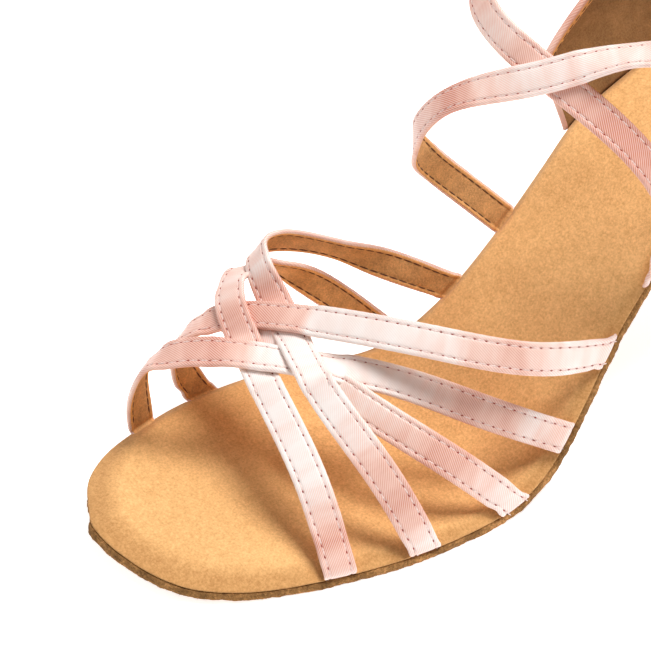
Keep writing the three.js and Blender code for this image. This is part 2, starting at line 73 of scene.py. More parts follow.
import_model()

# Sizes of the last, as the frame has them
LENGTH = 245.0
BALL_WIDTH = 80.0
SEAT_WIDTH = 52.0
PITCH = 42.8
SEAT_SLOPE = 12.0
TOE_SPRING = 2.8
SPRING_LENGTH = 35.0
FLAT_LENGTH = 81.3
BEND_LENGTH = 29.9
SHANK_END = 165.0
SEAT_BLEND = 40.0
SOLE_THICK = 1.8
INSOLE_THICK = 2.6
SOLE_PROUD = 1.0
WAIST_PROUD = 0.4
STRAP_TUCK = 6.0
STRAP_SINK = 0.4
INSTEP = 60.0
HEEL_STATION = 221.0
BREAST_STATION = 196.0
TIP_THICK = 6.0
TIP_LENGTH = 22.0
TIP_WIDTH = 22.0
COUNTER_FRONT = 172.0
COUNTER_HEIGHT = 52.0
COUNTER_WALL = 2.0
COUNTER_RAKE = 4.0
LAP_LENGTH = 18.0
GAP = 0.3
SOLE_END = BREAST_STATION - 3 * GAP
BED_STEPS = 490

# Up to this station the straps lean forward over the ball, then less and less
FACING_BALL = 130.0
FACING_BLEND = 50.0
# How strongly a bend pulls a strap's face outwards, and the way that a turned strap is laid over
BEND_GRIP = 26.0
OUTER_FRONT = Vector((0.63, -0.43, 0.64))
# A strap's foot: share of its thickness left, where it starts on the edge, radius of its turn under
PARED = 0.5
FOOT_DEPTH = 0.6
TURN = 0.85
# The strap's cut: crown as a share of half its thickness, how far it sinks, and its arch
CROWN = 0.93
CROWN_SINK = 0.09
ARCH = 0.11
# How deep the stitches pull in the satin and the lining
STITCH_PULL = 0.16
LINING_MARGIN = 0.12
# From the counter's top edge down to its row of stitches
SEAM_DROP = 2.4
# Heel tip: height of each ring and how far it is drawn in
TIP_RINGS = ((0.0, 0.7), (0.15, 0.3), (0.6, 0.0), (3.0, 0.0), (5.6, 0.0), (5.9, 0.12), (6.0, 0.4))
# Points round one cut of the insole, which its painted edge shade follows
INSOLE_RING = 70
# Fibres of the sole's raw edge: their width, and how many stand on a square metre
FIBRE_WIDTH = 0.00009
FIBRE_DENSITY = 5200000.0

# The camera at the photograph's view: its place, its right and its back
CAMERA_PLACE = (0.46565, -0.45440, 0.52414)
CAMERA_RIGHT = (0.56353, 0.82610, 0.0)
CAMERA_BACK = (0.63190, -0.43105, 0.64412)
FLOOR_REACH = 4.0

# Outline of the insole: station, inner edge, outer edge, as shares of length and ball width
FOREPART = (
    (0.0000, -0.150, -0.050), (0.0035, -0.185, 0.010), (0.0102, -0.224, 0.090),
    (0.0245, -0.310, 0.187), (0.0408, -0.370, 0.249), (0.0792, -0.446, 0.331),
    (0.1633, -0.508, 0.430), (0.2482, -0.503, 0.489), (0.3253, -0.453, 0.505),
    (0.4082, -0.343, 0.484), (0.4857, -0.286, 0.433), (0.5714, -0.277, 0.360),
    (0.6555, -0.291, 0.321),
)
# The heel seat: edges as shares of the seat width
SEAT = (
    (0.7143, -0.471, 0.482), (0.7755, -0.465, 0.500), (0.8571, -0.490, 0.500),
    (0.9306, -0.475, 0.475), (0.9551, -0.415, 0.415), (0.9755, -0.320, 0.320),
    (0.9878, -0.235, 0.235), (0.9959, -0.140, 0.140), (1.0000, -0.050, 0.050),
)

# Straps over the toes: stations of their two feet, route as across, along and up, and how the satin's
# painted light runs from the inner foot to the outer one, 0 a pale painted highlight and 1 salmon painted
# shade
VAMP_STRAPS = (
    {"name": "first", "medial": 0.4122, "lateral": 0.1714, "route": (
        (-0.524, 0.310, 0.548), (-0.503, 0.243, 0.603), (-0.307, 0.215, 0.548),
        (-0.044, 0.197, 0.473), (0.213, 0.185, 0.322)),
     "painted_lights": ((0.0, 0.45), (0.3, 0.5), (0.42, 0.35), (0.48, 0.85), (0.53, 0.6), (0.58, 0.05),
               (0.80, 0.05), (0.86, 0.45), (0.90, 0.8), (0.94, 0.5), (0.97, 0.2), (1.0, 0.25)),
     "turns": ((0.28, 0), (0.335, -0.3), (0.352, 1.3), (0.40, 1.1), (0.46, 0.3), (0.52, 0))},
    {"name": "second", "medial": 0.4939, "lateral": 0.2612, "route": (
        (-0.490, 0.355, 0.621), (-0.557, 0.289, 0.659), (-0.340, 0.265, 0.591),
        (0.026, 0.236, 0.554), (0.340, 0.240, 0.384)),
     "painted_lights": ((0.0, 0.5), (0.3, 0.5), (0.40, 0.3), (0.46, 0.85), (0.50, 0.6), (0.54, 0.1),
               (0.72, 0.1), (0.80, 0.45), (0.86, 0.8), (0.90, 0.65), (0.94, 0.2), (1.0, 0.25)),
     "turns": ((0.14, 0), (0.19, -0.15), (0.23, -0.45), (0.27, -0.65), (0.31, -0.6), (0.34, 0.0),
               (0.37, 1.0), (0.42, 0.8), (0.52, 0.3), (0.58, 0))},
    {"name": "third", "medial": 0.3020, "lateral": 0.3714, "route": (
        (-0.515, 0.240, 0.426), (-0.346, 0.233, 0.538), (-0.081, 0.249, 0.518),
        (0.186, 0.277, 0.448), (0.390, 0.318, 0.318)),
     "painted_lights": ((0.0, 0.4), (0.15, 0.45), (0.25, 0.5), (0.34, 0.2), (0.55, 0.1), (0.66, 0.25),
               (0.73, 0.6), (0.80, 0.8), (0.86, 0.4), (0.92, 0.25), (1.0, 0.25))},
    {"name": "fourth", "medial": 0.1253, "lateral": 0.4571, "route": (
        (-0.462, 0.127, 0.397), (-0.317, 0.173, 0.538), (-0.106, 0.240, 0.546),
        (0.109, 0.309, 0.515), (0.310, 0.374, 0.408)),
     "painted_lights": ((0.0, 0.4), (0.14, 0.3), (0.24, 0.65), (0.32, 0.85), (0.37, 0.6), (0.41, 0.08),
               (0.60, 0.08), (0.70, 0.3), (0.78, 0.7), (0.83, 0.6), (0.88, 0.3), (1.0, 0.3))},
    {"name": "fifth", "medial": 0.2020, "lateral": 0.5510, "route": (
        (-0.546, 0.182, 0.339), (-0.415, 0.225, 0.539), (-0.130, 0.282, 0.657),
        (0.160, 0.341, 0.712), (0.359, 0.419, 0.652)),
     "painted_lights": ((0.0, 0.4), (0.14, 0.3), (0.24, 0.6), (0.34, 0.85), (0.40, 0.6), (0.44, 0.1),
               (0.60, 0.08), (0.70, 0.35), (0.76, 0.65), (0.82, 0.35), (0.88, 0.2), (1.0, 0.3)),
     "turns": ((0.10, 0), (0.14, -0.2), (0.17, 0.6), (0.23, 0.7), (0.29, 0))},
)
# Straps over the instep, from the arch to a lap on the counter, with painted light along them as on the
# toe straps
INSTEP_STRAPS = (
    {"name": "over", "side": -1, "from": 0.5878, "to": 0.930, "rise": 0.82, "route": (
        (-0.368, 0.477, 0.919), (-0.338, 0.438, 1.186), (-0.213, 0.455, 1.456),
        (-0.015, 0.513, 1.618), (0.160, 0.594, 1.737), (0.418, 0.680, 1.790)),
     "painted_lights": ((0.0, 0.5), (0.18, 0.45), (0.26, 0.4), (0.33, 0.7), (0.37, 0.95), (0.41, 0.45),
               (0.47, 0.2), (0.62, 0.3), (0.75, 0.45), (0.85, 0.2), (1.0, 0.4))},
    {"name": "under", "side": 1, "from": 0.653, "to": 0.920, "rise": 0.84, "route": (
        (0.385, 0.583, 1.175), (0.230, 0.557, 1.442), (-0.018, 0.523, 1.617),
        (-0.283, 0.514, 1.706), (-0.467, 0.557, 1.750), (-0.480, 0.655, 1.750)),
     "painted_lights": ((0.0, 0.3), (0.12, 0.45), (0.22, 0.9), (0.30, 1.0), (0.36, 0.75), (0.46, 0.6),
               (0.52, 0.3), (0.60, 0.9), (0.68, 0.25), (0.85, 0.35), (1.0, 0.4))},
)
# Counter: place from its front to the back, height, belly and lean
COUNTER = (
    (0.00, 0.38, 0.030, 0.080), (0.20, 0.53, 0.050, 0.078), (0.45, 0.74, 0.058, 0.060),
    (0.73, 0.90, 0.067, 0.020), (1.00, 1.00, 0.096, -0.040),
)
# Soft troughs and ridges of the footbed: station, across, half length, half width, turn, depth
TROUGHS = (
    (128, -6, 9, 6, 0.6, 0.8), (117, 5, 10, 5, 1.2, -0.4), (104, 30, 12, 3.5, 1.9, 0.75),
    (84, 33, 12, 3.5, 2.1, 0.75), (122, 27, 11, 4, 1.6, 0.7), (147, 20, 12, 4, 0.5, 0.55),
    (142, 10, 10, 5, 0.7, -0.45), (160, -4, 12, 6, 0.3, 0.5),
)
# Heel: level from the tip up, front, back, width, and the share of the seat's own outline
HEEL = (
    (0.00, 0.50, 0.50, 1.00, 0.00), (0.18, 0.44, 0.46, 0.88, 0.00), (0.42, 0.40, 0.47, 0.86, 0.02),
    (0.62, 0.43, 0.58, 1.02, 0.08), (0.78, 0.55, 0.76, 1.30, 0.22), (0.90, 0.74, 0.94, 1.65, 0.52),
    (1.00, 1.00, 1.00, 1.90, 1.00),
)


class ShoeSizes(PropertyGroup):
    strap_width: FloatProperty(
        name="Strap width", description="Width of every satin strap",
        default=0.0086, min=0.004, max=0.009, unit="LENGTH")
    strap_thick: FloatProperty(
        name="Strap thickness", description="Satin, filler and lining together",
        default=0.0016, min=0.001, max=0.002, unit="LENGTH")
    stitch_inset: FloatProperty(
        name="Stitch inset", description="From the strap's edge to its row of stitches",
        default=0.0015, min=0.0008, max=0.003, unit="LENGTH")
    stitch_pitch: FloatProperty(
        name="Stitch pitch", description="From one needle hole to the next",
        default=0.0028, min=0.0015, max=0.006, unit="LENGTH")
    thread_width: FloatProperty(
        name="Thread width", description="Width of the sewing thread",
        default=0.00034, min=0.0001, max=0.001, unit="LENGTH")
    weave_pitch: FloatProperty(
        name="Weave pitch", description="From one twill line of the satin to the next",
        default=0.00052, min=0.0002, max=0.002, unit="LENGTH")
    insole_round: FloatProperty(
        name="Insole edge", description="How far the insole's wrapped edge rounds down",
        default=0.0021, min=0.0005, max=0.0022, unit="LENGTH")
    insole_shoulder: FloatProperty(
        name="Insole shoulder", description="How far in from its edge the insole rounds off",
        default=0.0082, min=0.001, max=0.009, unit="LENGTH")
    fibre_length: FloatProperty(
        name="Sole fibres", description="Length of the loose fibres on the sole's raw edge",
        default=0.0011, min=0.0, max=0.003, unit="LENGTH")
    fibre_seed: IntProperty(
        name="Fibre seed", description="Where the loose fibres stand", default=7, min=0)


def colour(name, description, value):
    return FloatVectorProperty(name=name, description=description, subtype="COLOR",
                               size=3, min=0.0, max=1.0, default=value)


class ShoeColours(PropertyGroup):
    # Pale is the satin under a painted highlight, salmon the satin in painted shade, rose in between
    satin_pale_highlight: colour("Satin, pale", "Satin where it shines", (0.96, 0.86, 0.81))
    satin_rose: colour("Satin, rose", "Satin in between", (0.88, 0.54, 0.44))
    satin_salmon_shade: colour("Satin, salmon", "Satin where it lies dark", (0.62, 0.175, 0.09))
    suede_light: colour("Insole, light", "Nap of the insole brushed one way", (0.97, 0.56, 0.23))
    suede_dark: colour("Insole, dark", "Nap of the insole brushed the other way",
                       (0.66, 0.335, 0.115))
    lining: colour("Lining", "Microfibre lining under the straps", (0.66, 0.36, 0.145))
    sole: colour("Sole", "Raw suede of the outsole", (0.34, 0.165, 0.055))
    thread: colour("Thread", "Sewing thread on the satin", (0.95, 0.70, 0.64))
    # Needle holes: their dark red is painted shade inside each hole
    hole: colour("Needle holes", "Inside of the needle holes", (0.36, 0.045, 0.03))
    # Lining thread: the real thread, its dark brown a painted shadow along the stitched groove
    seam: colour("Lining thread", "Sewing thread under the straps", (0.13, 0.055, 0.02))
    tip: colour("Heel tip", "Hard heel tip", (0.035, 0.022, 0.016))


class StudioSizes(PropertyGroup):
    floor: colour("Floor", "Pale studio floor", (0.93, 0.93, 0.93))
    key: FloatProperty(name="Key light", description="Power of the large soft key light",
                       default=31.0, min=0.0, unit="POWER")
    fill: FloatProperty(name="Fill light", description="Power of the soft fill light",
                        default=4.0, min=0.0, unit="POWER")
    room: FloatProperty(name="Room light", description="Strength of the even room light",
                        default=0.22, min=0.0)
    lens: FloatProperty(name="Lens", description="Focal length of the camera",
                        default=166.59, min=10.0, unit="CAMERA")


def sizes():
    return bpy.context.scene.shoe_sizes


def colours():
    return bpy.context.scene.shoe_colours


# Curves


def smooth(t):
    c = min(max(t, 0.0), 1.0)
    return c * c * (3 - 2 * c)


def spline(values):
    """Natural cubic through equally spaced values, as a function of 0 to 1."""
    n = len(values)
    bend = [0.0] * n
    run = [0.0] * n
    for i in range(1, n - 1):
        p = 4 + run[i - 1]
        run[i] = -1 / p
        bend[i] = (6 * (values[i + 1] - 2 * values[i] + values[i - 1]) - bend[i - 1]) / p
    for i in range(n - 2, 0, -1):
        bend[i] += run[i] * bend[i + 1]

    def at(t):
        u = min(max(t, 0.0), 1.0) * (n - 1)
        i = min(int(u), n - 2)
        b = u - i
        a = 1 - b
        return (a * values[i] + b * values[i + 1]
                + ((a * a * a - a) * bend[i] + (b * b * b - b) * bend[i + 1]) / 6)
    return at


def column(rows, index):
    """Smooth values between the rows of a table whose first entry grows."""
    keys = [row[0] for row in rows]
    values = [row[index] for row in rows]
    last = len(rows) - 1
    slope = []
    for i in range(len(rows)):
        a, b = max(i - 1, 0), min(i + 1, last)
        slope.append((values[b] - values[a]) / (keys[b] - keys[a]))

    def at(x):
        i = min(max(bisect.bisect_right(keys, x) - 1, 0), last - 1)
        h = keys[i + 1] - keys[i]
        t = min(max((x - keys[i]) / h, 0.0), 1.0)
        t2, t3 = t * t, t * t * t
        return ((2 * t3 - 3 * t2 + 1) * values[i] + (t3 - 2 * t2 + t) * h * slope[i]
                + (3 * t2 - 2 * t3) * values[i + 1] + (t3 - t2) * h * slope[i + 1])
    return at


def between(stops, t):
    """Soft steps between given stops of place and value."""
    for (t0, v0), (t1, v1) in zip(stops, stops[1:]):
        if t <= t1:
            return v0 + (v1 - v0) * smooth((t - t0) / (t1 - t0))
    return stops[-1][1]


def walked(points):
    """Distance walked along a line at each of its points."""
    total = [0.0]
    for a, b in zip(points, points[1:]):
        total.append(total[-1] + (b - a).length)
    return total


# The footbed


def slope_at(s):
    rise = math.radians(PITCH) * smooth((s - FLAT_LENGTH) / BEND_LENGTH)
    fall = (math.radians(SEAT_SLOPE) - math.radians(PITCH)) * smooth((s - SHANK_END) / SEAT_BLEND)
    toe = min(max((SPRING_LENGTH - s) / SPRING_LENGTH, 0.0), 1.0)
    return rise + fall - math.atan(2 * TOE_SPRING / SPRING_LENGTH * toe)


def bed_table():
    """Along and up of the footbed at even steps of its own length."""
    rows = [(0.0, 0.0)]
    ds = LENGTH / BED_STEPS
    for i in range(1, BED_STEPS + 1):
        a = slope_at((i - 0.5) * ds)
        rows.append((rows[-1][0] + math.cos(a) * ds, rows[-1][1] + math.sin(a) * ds))
    return rows


BED = bed_table()


def bed_at(s):
    u = s / LENGTH * (len(BED) - 1)
    i = min(max(int(math.floor(u)), 0), len(BED) - 2)
    f = u - i
    return (BED[i][0] + (BED[i + 1][0] - BED[i][0]) * f,
            BED[i][1] + (BED[i + 1][1] - BED[i][1]) * f)


FLAT_Z = bed_at((SPRING_LENGTH + FLAT_LENGTH) / 2)[1]
HEEL_Y = bed_at(HEEL_STATION)[0]
TOP = SOLE_THICK + GAP + INSOLE_THICK


def on_bed(s, x, depth):
    y, z = bed_at(s)
    a = slope_at(min(max(s, 0.0), LENGTH))
    return Vector((x, y - HEEL_Y + math.sin(a) * depth, z - FLAT_Z + TOP - math.cos(a) * depth))


def bed_normal(s):
    a = slope_at(s)
    return Vector((0, -math.sin(a), math.cos(a)))


class Outline:
    """The insole's outline, walked from the toe along each side to the back."""

    def __init__(self):
        rows = [(r[0] * LENGTH, r[1] * BALL_WIDTH, r[2] * BALL_WIDTH) for r in FOREPART]
        rows += [(r[0] * LENGTH, r[1] * SEAT_WIDTH, r[2] * SEAT_WIDTH) for r in SEAT]
        loop = [Vector((r[1], r[0])) for r in rows] + [Vector((r[2], r[0])) for r in reversed(rows)]
        dense = self.through(loop)
        low = min(range(len(dense)), key=lambda i: (dense[i].y, abs(dense[i].x + 8)))
        dense = dense[low:] + dense[:low]
        high = max(range(len(dense)), key=lambda i: (dense[i].y, -abs(dense[i].x)))
        self.sides = {-1: dense[:high + 1], 1: [dense[0]] + dense[:high - 1:-1]}
        self.lengths = {}
        self.normals = {}
        for side, points in self.sides.items():
            self.lengths[side] = walked(points)
            normals = []
            for i in range(len(points)):
                d = points[min(i + 3, len(points) - 1)] - points[max(i - 3, 0)]
                n = Vector((d.y, -d.x)) * side
                normals.append(n.normalized())
            normals[0] = Vector((0, -1))
            normals[-1] = Vector((0, 1))
            self.normals[side] = normals

    @staticmethod
    def through(loop):
        """Closed smooth curve through points, with even speed in each span."""
        n = len(loop)
        dense = []
        for i in range(n):
            p = [loop[(i + k - 1) % n] for k in range(4)]
            t = [0.0]
            for k in range(3):
                t.append(t[-1] + max((p[k + 1] - p[k]).length, 0.01) ** 0.5)
            count = max(2, int((p[2] - p[1]).length / 0.2))
            for k in range(count):
                u = t[1] + (t[2] - t[1]) * k / count
                a = [p[j] * ((t[j + 1] - u) / (t[j + 1] - t[j]))
                     + p[j + 1] * ((u - t[j]) / (t[j + 1] - t[j])) for j in range(3)]
                b = [a[j] * ((t[j + 2] - u) / (t[j + 2] - t[j]))
                     + a[j + 1] * ((u - t[j]) / (t[j + 2] - t[j])) for j in range(2)]
                dense.append(b[0] * ((t[2] - u) / (t[2] - t[1])) + b[1] * ((u - t[1]) / (t[2] - t[1])))
        for _ in range(30):
            dense = [(dense[i - 1] + dense[i] * 2 + dense[(i + 1) % len(dense)]) / 4
                     for i in range(len(dense))]
        return dense

    def share(self, side, q):
        """Place at a share of a side's length: across, station, and the way out."""
        total = self.lengths[side]
        target = min(max(q, 0.0), 1.0) * total[-1]
        i = min(max(bisect.bisect_right(total, target) - 1, 0), len(total) - 2)
        f = (target - total[i]) / max(total[i + 1] - total[i], 1e-9)
        p = self.sides[side][i].lerp(self.sides[side][i + 1], f)
        n = self.normals[side][i].lerp(self.normals[side][i + 1], f).normalized()
        return p.x, p.y, n

    def share_at(self, side, s):
        points = self.sides[side]
        low, high = 0, len(points) - 1
        while high - low > 1:
            mid = (low + high) // 2
            if points[mid].y < s:
                low = mid
            else:
                high = mid
        f = (s - points[low].y) / max(points[high].y - points[low].y, 1e-9)
        f = min(max(f, 0.0), 1.0)
        total = self.lengths[side]
        return (total[low] + (total[high] - total[low]) * f) / total[-1]

    def at(self, side, s):
        return self.share(side, self.share_at(side, s))


OUTLINE = Outline()


def rim_point(place, out, depth):
    x, s, n = place
    return on_bed(s + n.y * out, x + n.x * out, depth)


# Straps as lines of place, facing and hold


def core_facing(point):
    """The way a strap faces: away from the foot's core, leaning forward over the ball."""
    s = 0
    while s < LENGTH and bed_at(s)[0] - HEEL_Y < point.y:
        s += 1
    floor = on_bed(s, 0, 0).z
    ax, az = OUTLINE.at(-1, s)[0] + BALL_WIDTH * 0.08, floor + INSTEP * 0.38
    bx, bz = OUTLINE.at(1, s)[0] - BALL_WIDTH * 0.15, floor + INSTEP * 0.08
    dx, dz = bx - ax, bz - az
    f = ((point.x - ax) * dx + (point.z - az) * dz) / (dx * dx + dz * dz)
    f = min(max(f, 0.0), 1.0)
    v = Vector((point.x - ax - dx * f, 0, point.z - az - dz * f))
    ball = 1 - smooth((s - FACING_BALL) / FACING_BLEND)
    lean = 0.7 * ball + 0.4 * math.tan(0.6 * slope_at(min(s, LENGTH)))
    v.y = -lean * max(v.z, 0) * smooth(1 + v.x / 20)
    return v.normalized()


def band_faces(places, turns=()):
    """Faces of a band pulled tight: away from the foot's core and out of its own bends.

    Turns are places along the band with how far it is laid over to the outer front there.
    """
    faces = []
    walk = walked(places)
    last = len(places) - 1
    for i, p in enumerate(places):
        face = core_facing(p)
        k = min(9, i, last - i)
        if k > 1:
            before, after = p - places[i - k], places[i + k] - p
            bend = (after.normalized() - before.normalized()) * (2 / (before.length + after.length))
            face = face - bend * BEND_GRIP
        face = face.normalized()
        for (ta, a), (tb, b) in zip(turns, turns[1:]):
            share = walk[i] / walk[-1]
            if ta <= share < tb:
                face = face + OUTER_FRONT * (a + (b - a) * (share - ta) / (tb - ta))
        faces.append(face.normalized())
    return [f.normalized() for f in eased(faces, 26)]


def strap_half():
    return sizes().strap_thick * 500


def under_depth():
    return INSOLE_THICK - strap_half() * PARED - 0.2


def strap_foot(side, s):
    return rim_point(OUTLINE.at(side, s), STRAP_SINK, FOOT_DEPTH)


def strap_tuck(side, s, heading):
    """The strap's end, down the insole's edge and in under it."""
    x, st, n = OUTLINE.at(side, s)
    slope = slope_at(st)
    out = Vector((n.x, n.y * math.cos(slope), n.y * math.sin(slope)))
    edge = Vector((-n.y, n.x * math.cos(slope), n.x * math.sin(slope)))
    lean = heading.dot(edge)
    slide = min(max(lean / math.sqrt(max(1 - lean ** 2, 0.05)), -0.9), 0.9)
    wide = edge / math.sqrt(1 - min(lean ** 2, 0.45))
    under = under_depth()
    steps = [(STRAP_SINK, FOOT_DEPTH + (under - TURN - FOOT_DEPTH) * k / 2, 0.0) for k in (1, 2)]
    for k in range(1, 7):
        a = k / 6 * math.pi / 2
        steps.append((STRAP_SINK - TURN * (1 - math.cos(a)), under - TURN * (1 - math.sin(a)), k / 6))
    inner = STRAP_SINK - TURN
    count = 12
    for k in range(1, count + 1):
        steps.append((inner + (-STRAP_TUCK - inner) * k / count, under, 1.0))
    line = []
    run = 0.0
    last = (STRAP_SINK, FOOT_DEPTH)
    for out_by, depth, turn in steps:
        run += math.hypot(out_by - last[0], depth - last[1])
        last = (out_by, depth)
        station = st + n.y * out_by + n.x * slide * run
        across = x + n.x * out_by - n.y * slide * run
        face = out * math.cos(turn * math.pi / 2) - bed_normal(station) * math.sin(turn * math.pi / 2)
        line.append((on_bed(station, across, depth), face))
    spot = OUTLINE.share_at(side, st) * OUTLINE.lengths[side][-1]
    half = sizes().strap_width * 500 * wide.length
    return {"line": line, "face": out, "wide": wide, "foot": (side, spot, half, slide)}


def route_points(spec):
    """The points of a strap's route, from its table of shares."""
    return [Vector((a * BALL_WIDTH, b * LENGTH - HEEL_Y, c * INSTEP)) for a, b, c in spec["route"]]


def route_line(points, count):
    """A smooth line through points, in even steps of its own parameter."""
    axes = [spline([p[k] for p in points]) for k in range(3)]
    return [Vector((axes[0](i / count), axes[1](i / count), axes[2](i / count)))
            for i in range(count + 1)]


def eased(points, rounds):
    """The points smoothed along their row, its ends kept."""
    for _ in range(rounds):
        points = [points[0]] + [(points[i - 1] + points[i] * 2 + points[i + 1]) / 4
                                for i in range(1, len(points) - 1)] + [points[-1]]
    return points


def even(points, extras, step):
    """The same line at even steps, with its other values carried along."""
    total = walked(points)
    count = max(2, round(total[-1] / step))
    result = []
    i = 0
    for k in range(count + 1):
        target = total[-1] * k / count
        while i < len(points) - 2 and total[i + 1] < target:
            i += 1
        f = (target - total[i]) / max(total[i + 1] - total[i], 1e-9)
        f = min(max(f, 0.0), 1.0)
        row = [points[i].lerp(points[i + 1], f)]
        for extra in extras:
            a, b = extra[i], extra[i + 1]
            row.append(a.lerp(b, f) if isinstance(a, Vector) else a + (b - a) * f)
        result.append(row)
    return result, total[-1] / count


class Strap:
    """One satin band as even rings: place, run, up, wide, and the distance walked."""

    STEP = 0.5

    def __init__(self, spec, places, faces, start, end, lap=None):
        self.spec = spec
        count = len(places) - 1
        ends = [(0, start), (count, end)]
        for i in range(count + 1):
            t = i / count
            face = faces[i].lerp(start["face"], 1 - smooth(t / 0.14))
            hold = 0.14 if lap else 0.0
            face = face.lerp(end["face"], 1 - smooth((1 - t - hold) / 0.14))
            faces[i] = face.normalized()
        edges = []
        for i, p in enumerate(places):
            near = None
            for index, tuck in ends:
                if tuck.get("wide") is None:
                    continue
                d = (p - places[index]).length
                hold = 1 - smooth(d / 8.0)
                if hold > 0 and abs(i - index) < count / 2:
                    near = tuck["wide"] * hold
            edges.append(near or Vector((0, 0, 0)))
        line = list(places)
        if start.get("line"):
            line = [p for p, _ in reversed(start["line"])] + line
            faces = [f for _, f in reversed(start["line"])] + faces
            edges = [start["wide"]] * len(start["line"]) + edges
        if end.get("line"):
            line += [p for p, _ in end["line"]]
            faces += [f for _, f in end["line"]]
            edges += [end["wide"]] * len(end["line"])
        rows, _ = even(line, [faces, edges], 0.25)
        places = eased([r[0] for r in rows], 14)
        faces = eased([r[1] for r in rows], 10)
        rows, self.step = even(places, [faces, [r[2] for r in rows]], self.STEP)
        self.rings = []
        for i, (p, face, edge) in enumerate(rows):
            run = (rows[min(i + 1, len(rows) - 1)][0] - rows[max(i - 1, 0)][0]).normalized()
            up = (face - run * face.dot(run)).normalized()
            wide = run.cross(up)
            if edge.length > 1e-6:
                hold = min(edge.length / 1.0, 1.0)
                target = edge * (1 / hold if edge.length < 1 else 1)
                if target.dot(wide) < 0:
                    target = -target
                wide = wide.lerp(target, smooth(hold))
                across = wide.cross(run).normalized()
                up = across if across.dot(up) > 0 else -across
            self.rings.append({"place": p, "run": run, "up": up, "wide": wide,
                               "walk": i * self.step, "share": i / (len(rows) - 1)})
        self.total = self.rings[-1]["walk"]
        self.lap = lap
        self.feet = [tuck["foot"] for tuck in (start, end) if "foot" in tuck]


# Which band lies on which, the air left between them (none: only kept clear), and how far
# they lie flat on each other
CROSSINGS = (
    ("second", "first", 3.4, 0.0), ("fourth", "first", 0.0, 0.7), ("second", "fourth", 0.0, 0.7),
    ("first", "fifth", 0.0, 0.7), ("fifth", "second", 0.0, 0.7), ("over", "under", 0.0, 0.7),
    ("fifth", "third", None, 0.7), ("fourth", "third", None, 0.7),
    ("second", "third", None, 0.7), ("first", "third", None, 0.7),
)


def heading(places, i):
    return (places[min(i + 3, len(places) - 1)] - places[max(i - 3, 0)]).normalized()


def meeting(first, second):
    """Where two bands come closest, away from their feet."""
    best = None
    for step, reach in ((6, None), (1, 8)):
        if reach is None:
            rows = range(len(first) // 8, len(first) * 7 // 8, step)
            cols = range(len(second) // 8, len(second) * 7 // 8, step)
        else:
            rows = range(best[1] - reach, best[1] + reach + 1)
            cols = range(best[2] - reach, best[2] + reach + 1)
        best = min(((first[i] - second[j]).length_squared, i, j) for i in rows for j in cols)
    return best[1], best[2]


def settle(bands):
    """Lays the upper band of each crossing flat on the lower one."""
    lift = sizes().strap_thick * 1000 + 0.12
    for _ in range(4):
        for upper, lower, air, grip in CROSSINGS:
            a, b = bands[upper], bands[lower]
            i, j = meeting(a["places"], b["places"])
            face = heading(a["places"], i).cross(heading(b["places"], j)).normalized()
            if face.dot(a["faces"][i] + b["faces"][j]) < 0:
                face = -face
            if not grip:
                face = OUTER_FRONT
            gap = (a["places"][i] - b["places"][j]).dot(face)
            if gap > lift and air is None:
                continue
            short = lift + (air or 0.0) - gap
            for made, k, move in ((a, i, short), (b, j, -short)):
                press(made, k, face, move * 0.5, grip)


def press(made, k, face, move, grip):
    """Moves a band round one of its places and turns its face there."""
    places, faces = made["places"], made["faces"]
    for q in range(len(places)):
        far = (places[q] - places[k]).length
        if abs(q - k) > 60 or far > 14:
            continue
        hold = 1 - smooth((far - 3.5) / 7)
        faces[q] = faces[q].lerp(face, hold * grip).normalized()
        places[q] = places[q] + face * (move * (1 - smooth((far - 2) / 11)))


def build_straps():
    """All bands of the upper, first those over the toes, then those over the instep."""
    bands = {}
    for spec in VAMP_STRAPS:
        sm, sl = spec["medial"] * LENGTH, spec["lateral"] * LENGTH
        places = route_line([strap_foot(-1, sm)] + route_points(spec) + [strap_foot(1, sl)], 240)
        bands[spec["name"]] = {
            "spec": spec, "places": places, "lap": None,
            "faces": band_faces(places, spec.get("turns", ())),
            "start": strap_tuck(-1, sm, (places[0] - places[8]).normalized()),
            "end": strap_tuck(1, sl, (places[-1] - places[-9]).normalized())}
    for spec in INSTEP_STRAPS:
        s, side = spec["from"] * LENGTH, spec["side"]
        lap = [lap_point(spec, k) for k in (0, 0.5, 1)]
        places = route_line([strap_foot(side, s)] + route_points(spec) + [p for p, _ in lap], 400)
        bands[spec["name"]] = {
            "spec": spec, "places": places, "faces": band_faces(places), "lap": True,
            "start": strap_tuck(side, s, (places[0] - places[8]).normalized()),
            "end": {"face": lap[1][1]}}
    settle(bands)
    return {name: Strap(b["spec"], b["places"], b["faces"], b["start"], b["end"], b["lap"])
            for name, b in bands.items()}


COUNTER_TABLE = [column(COUNTER, k) for k in (1, 2, 3)]


def counter_share(place):
    """How far a place of the outline lies from the counter's front to its back."""
    return (place[1] - COUNTER_FRONT) / (LENGTH - COUNTER_FRONT)


def counter_height(at):
    return COUNTER_TABLE[0](at) * COUNTER_HEIGHT + INSOLE_THICK


def counter_face(place, level, out):
    """The counter's wall at a place of the outline, from its foot up."""
    at = counter_share(place)
    height = counter_height(at)
    swell = COUNTER_TABLE[1](at) * math.sin(level * math.pi) + COUNTER_TABLE[2](at) * smooth(level)
    base = rim_point(place, GAP + out + swell * SEAT_WIDTH, INSOLE_THICK)
    base.y -= COUNTER_RAKE * level * (1 - at) ** 2
    base.z += height * level
    return base


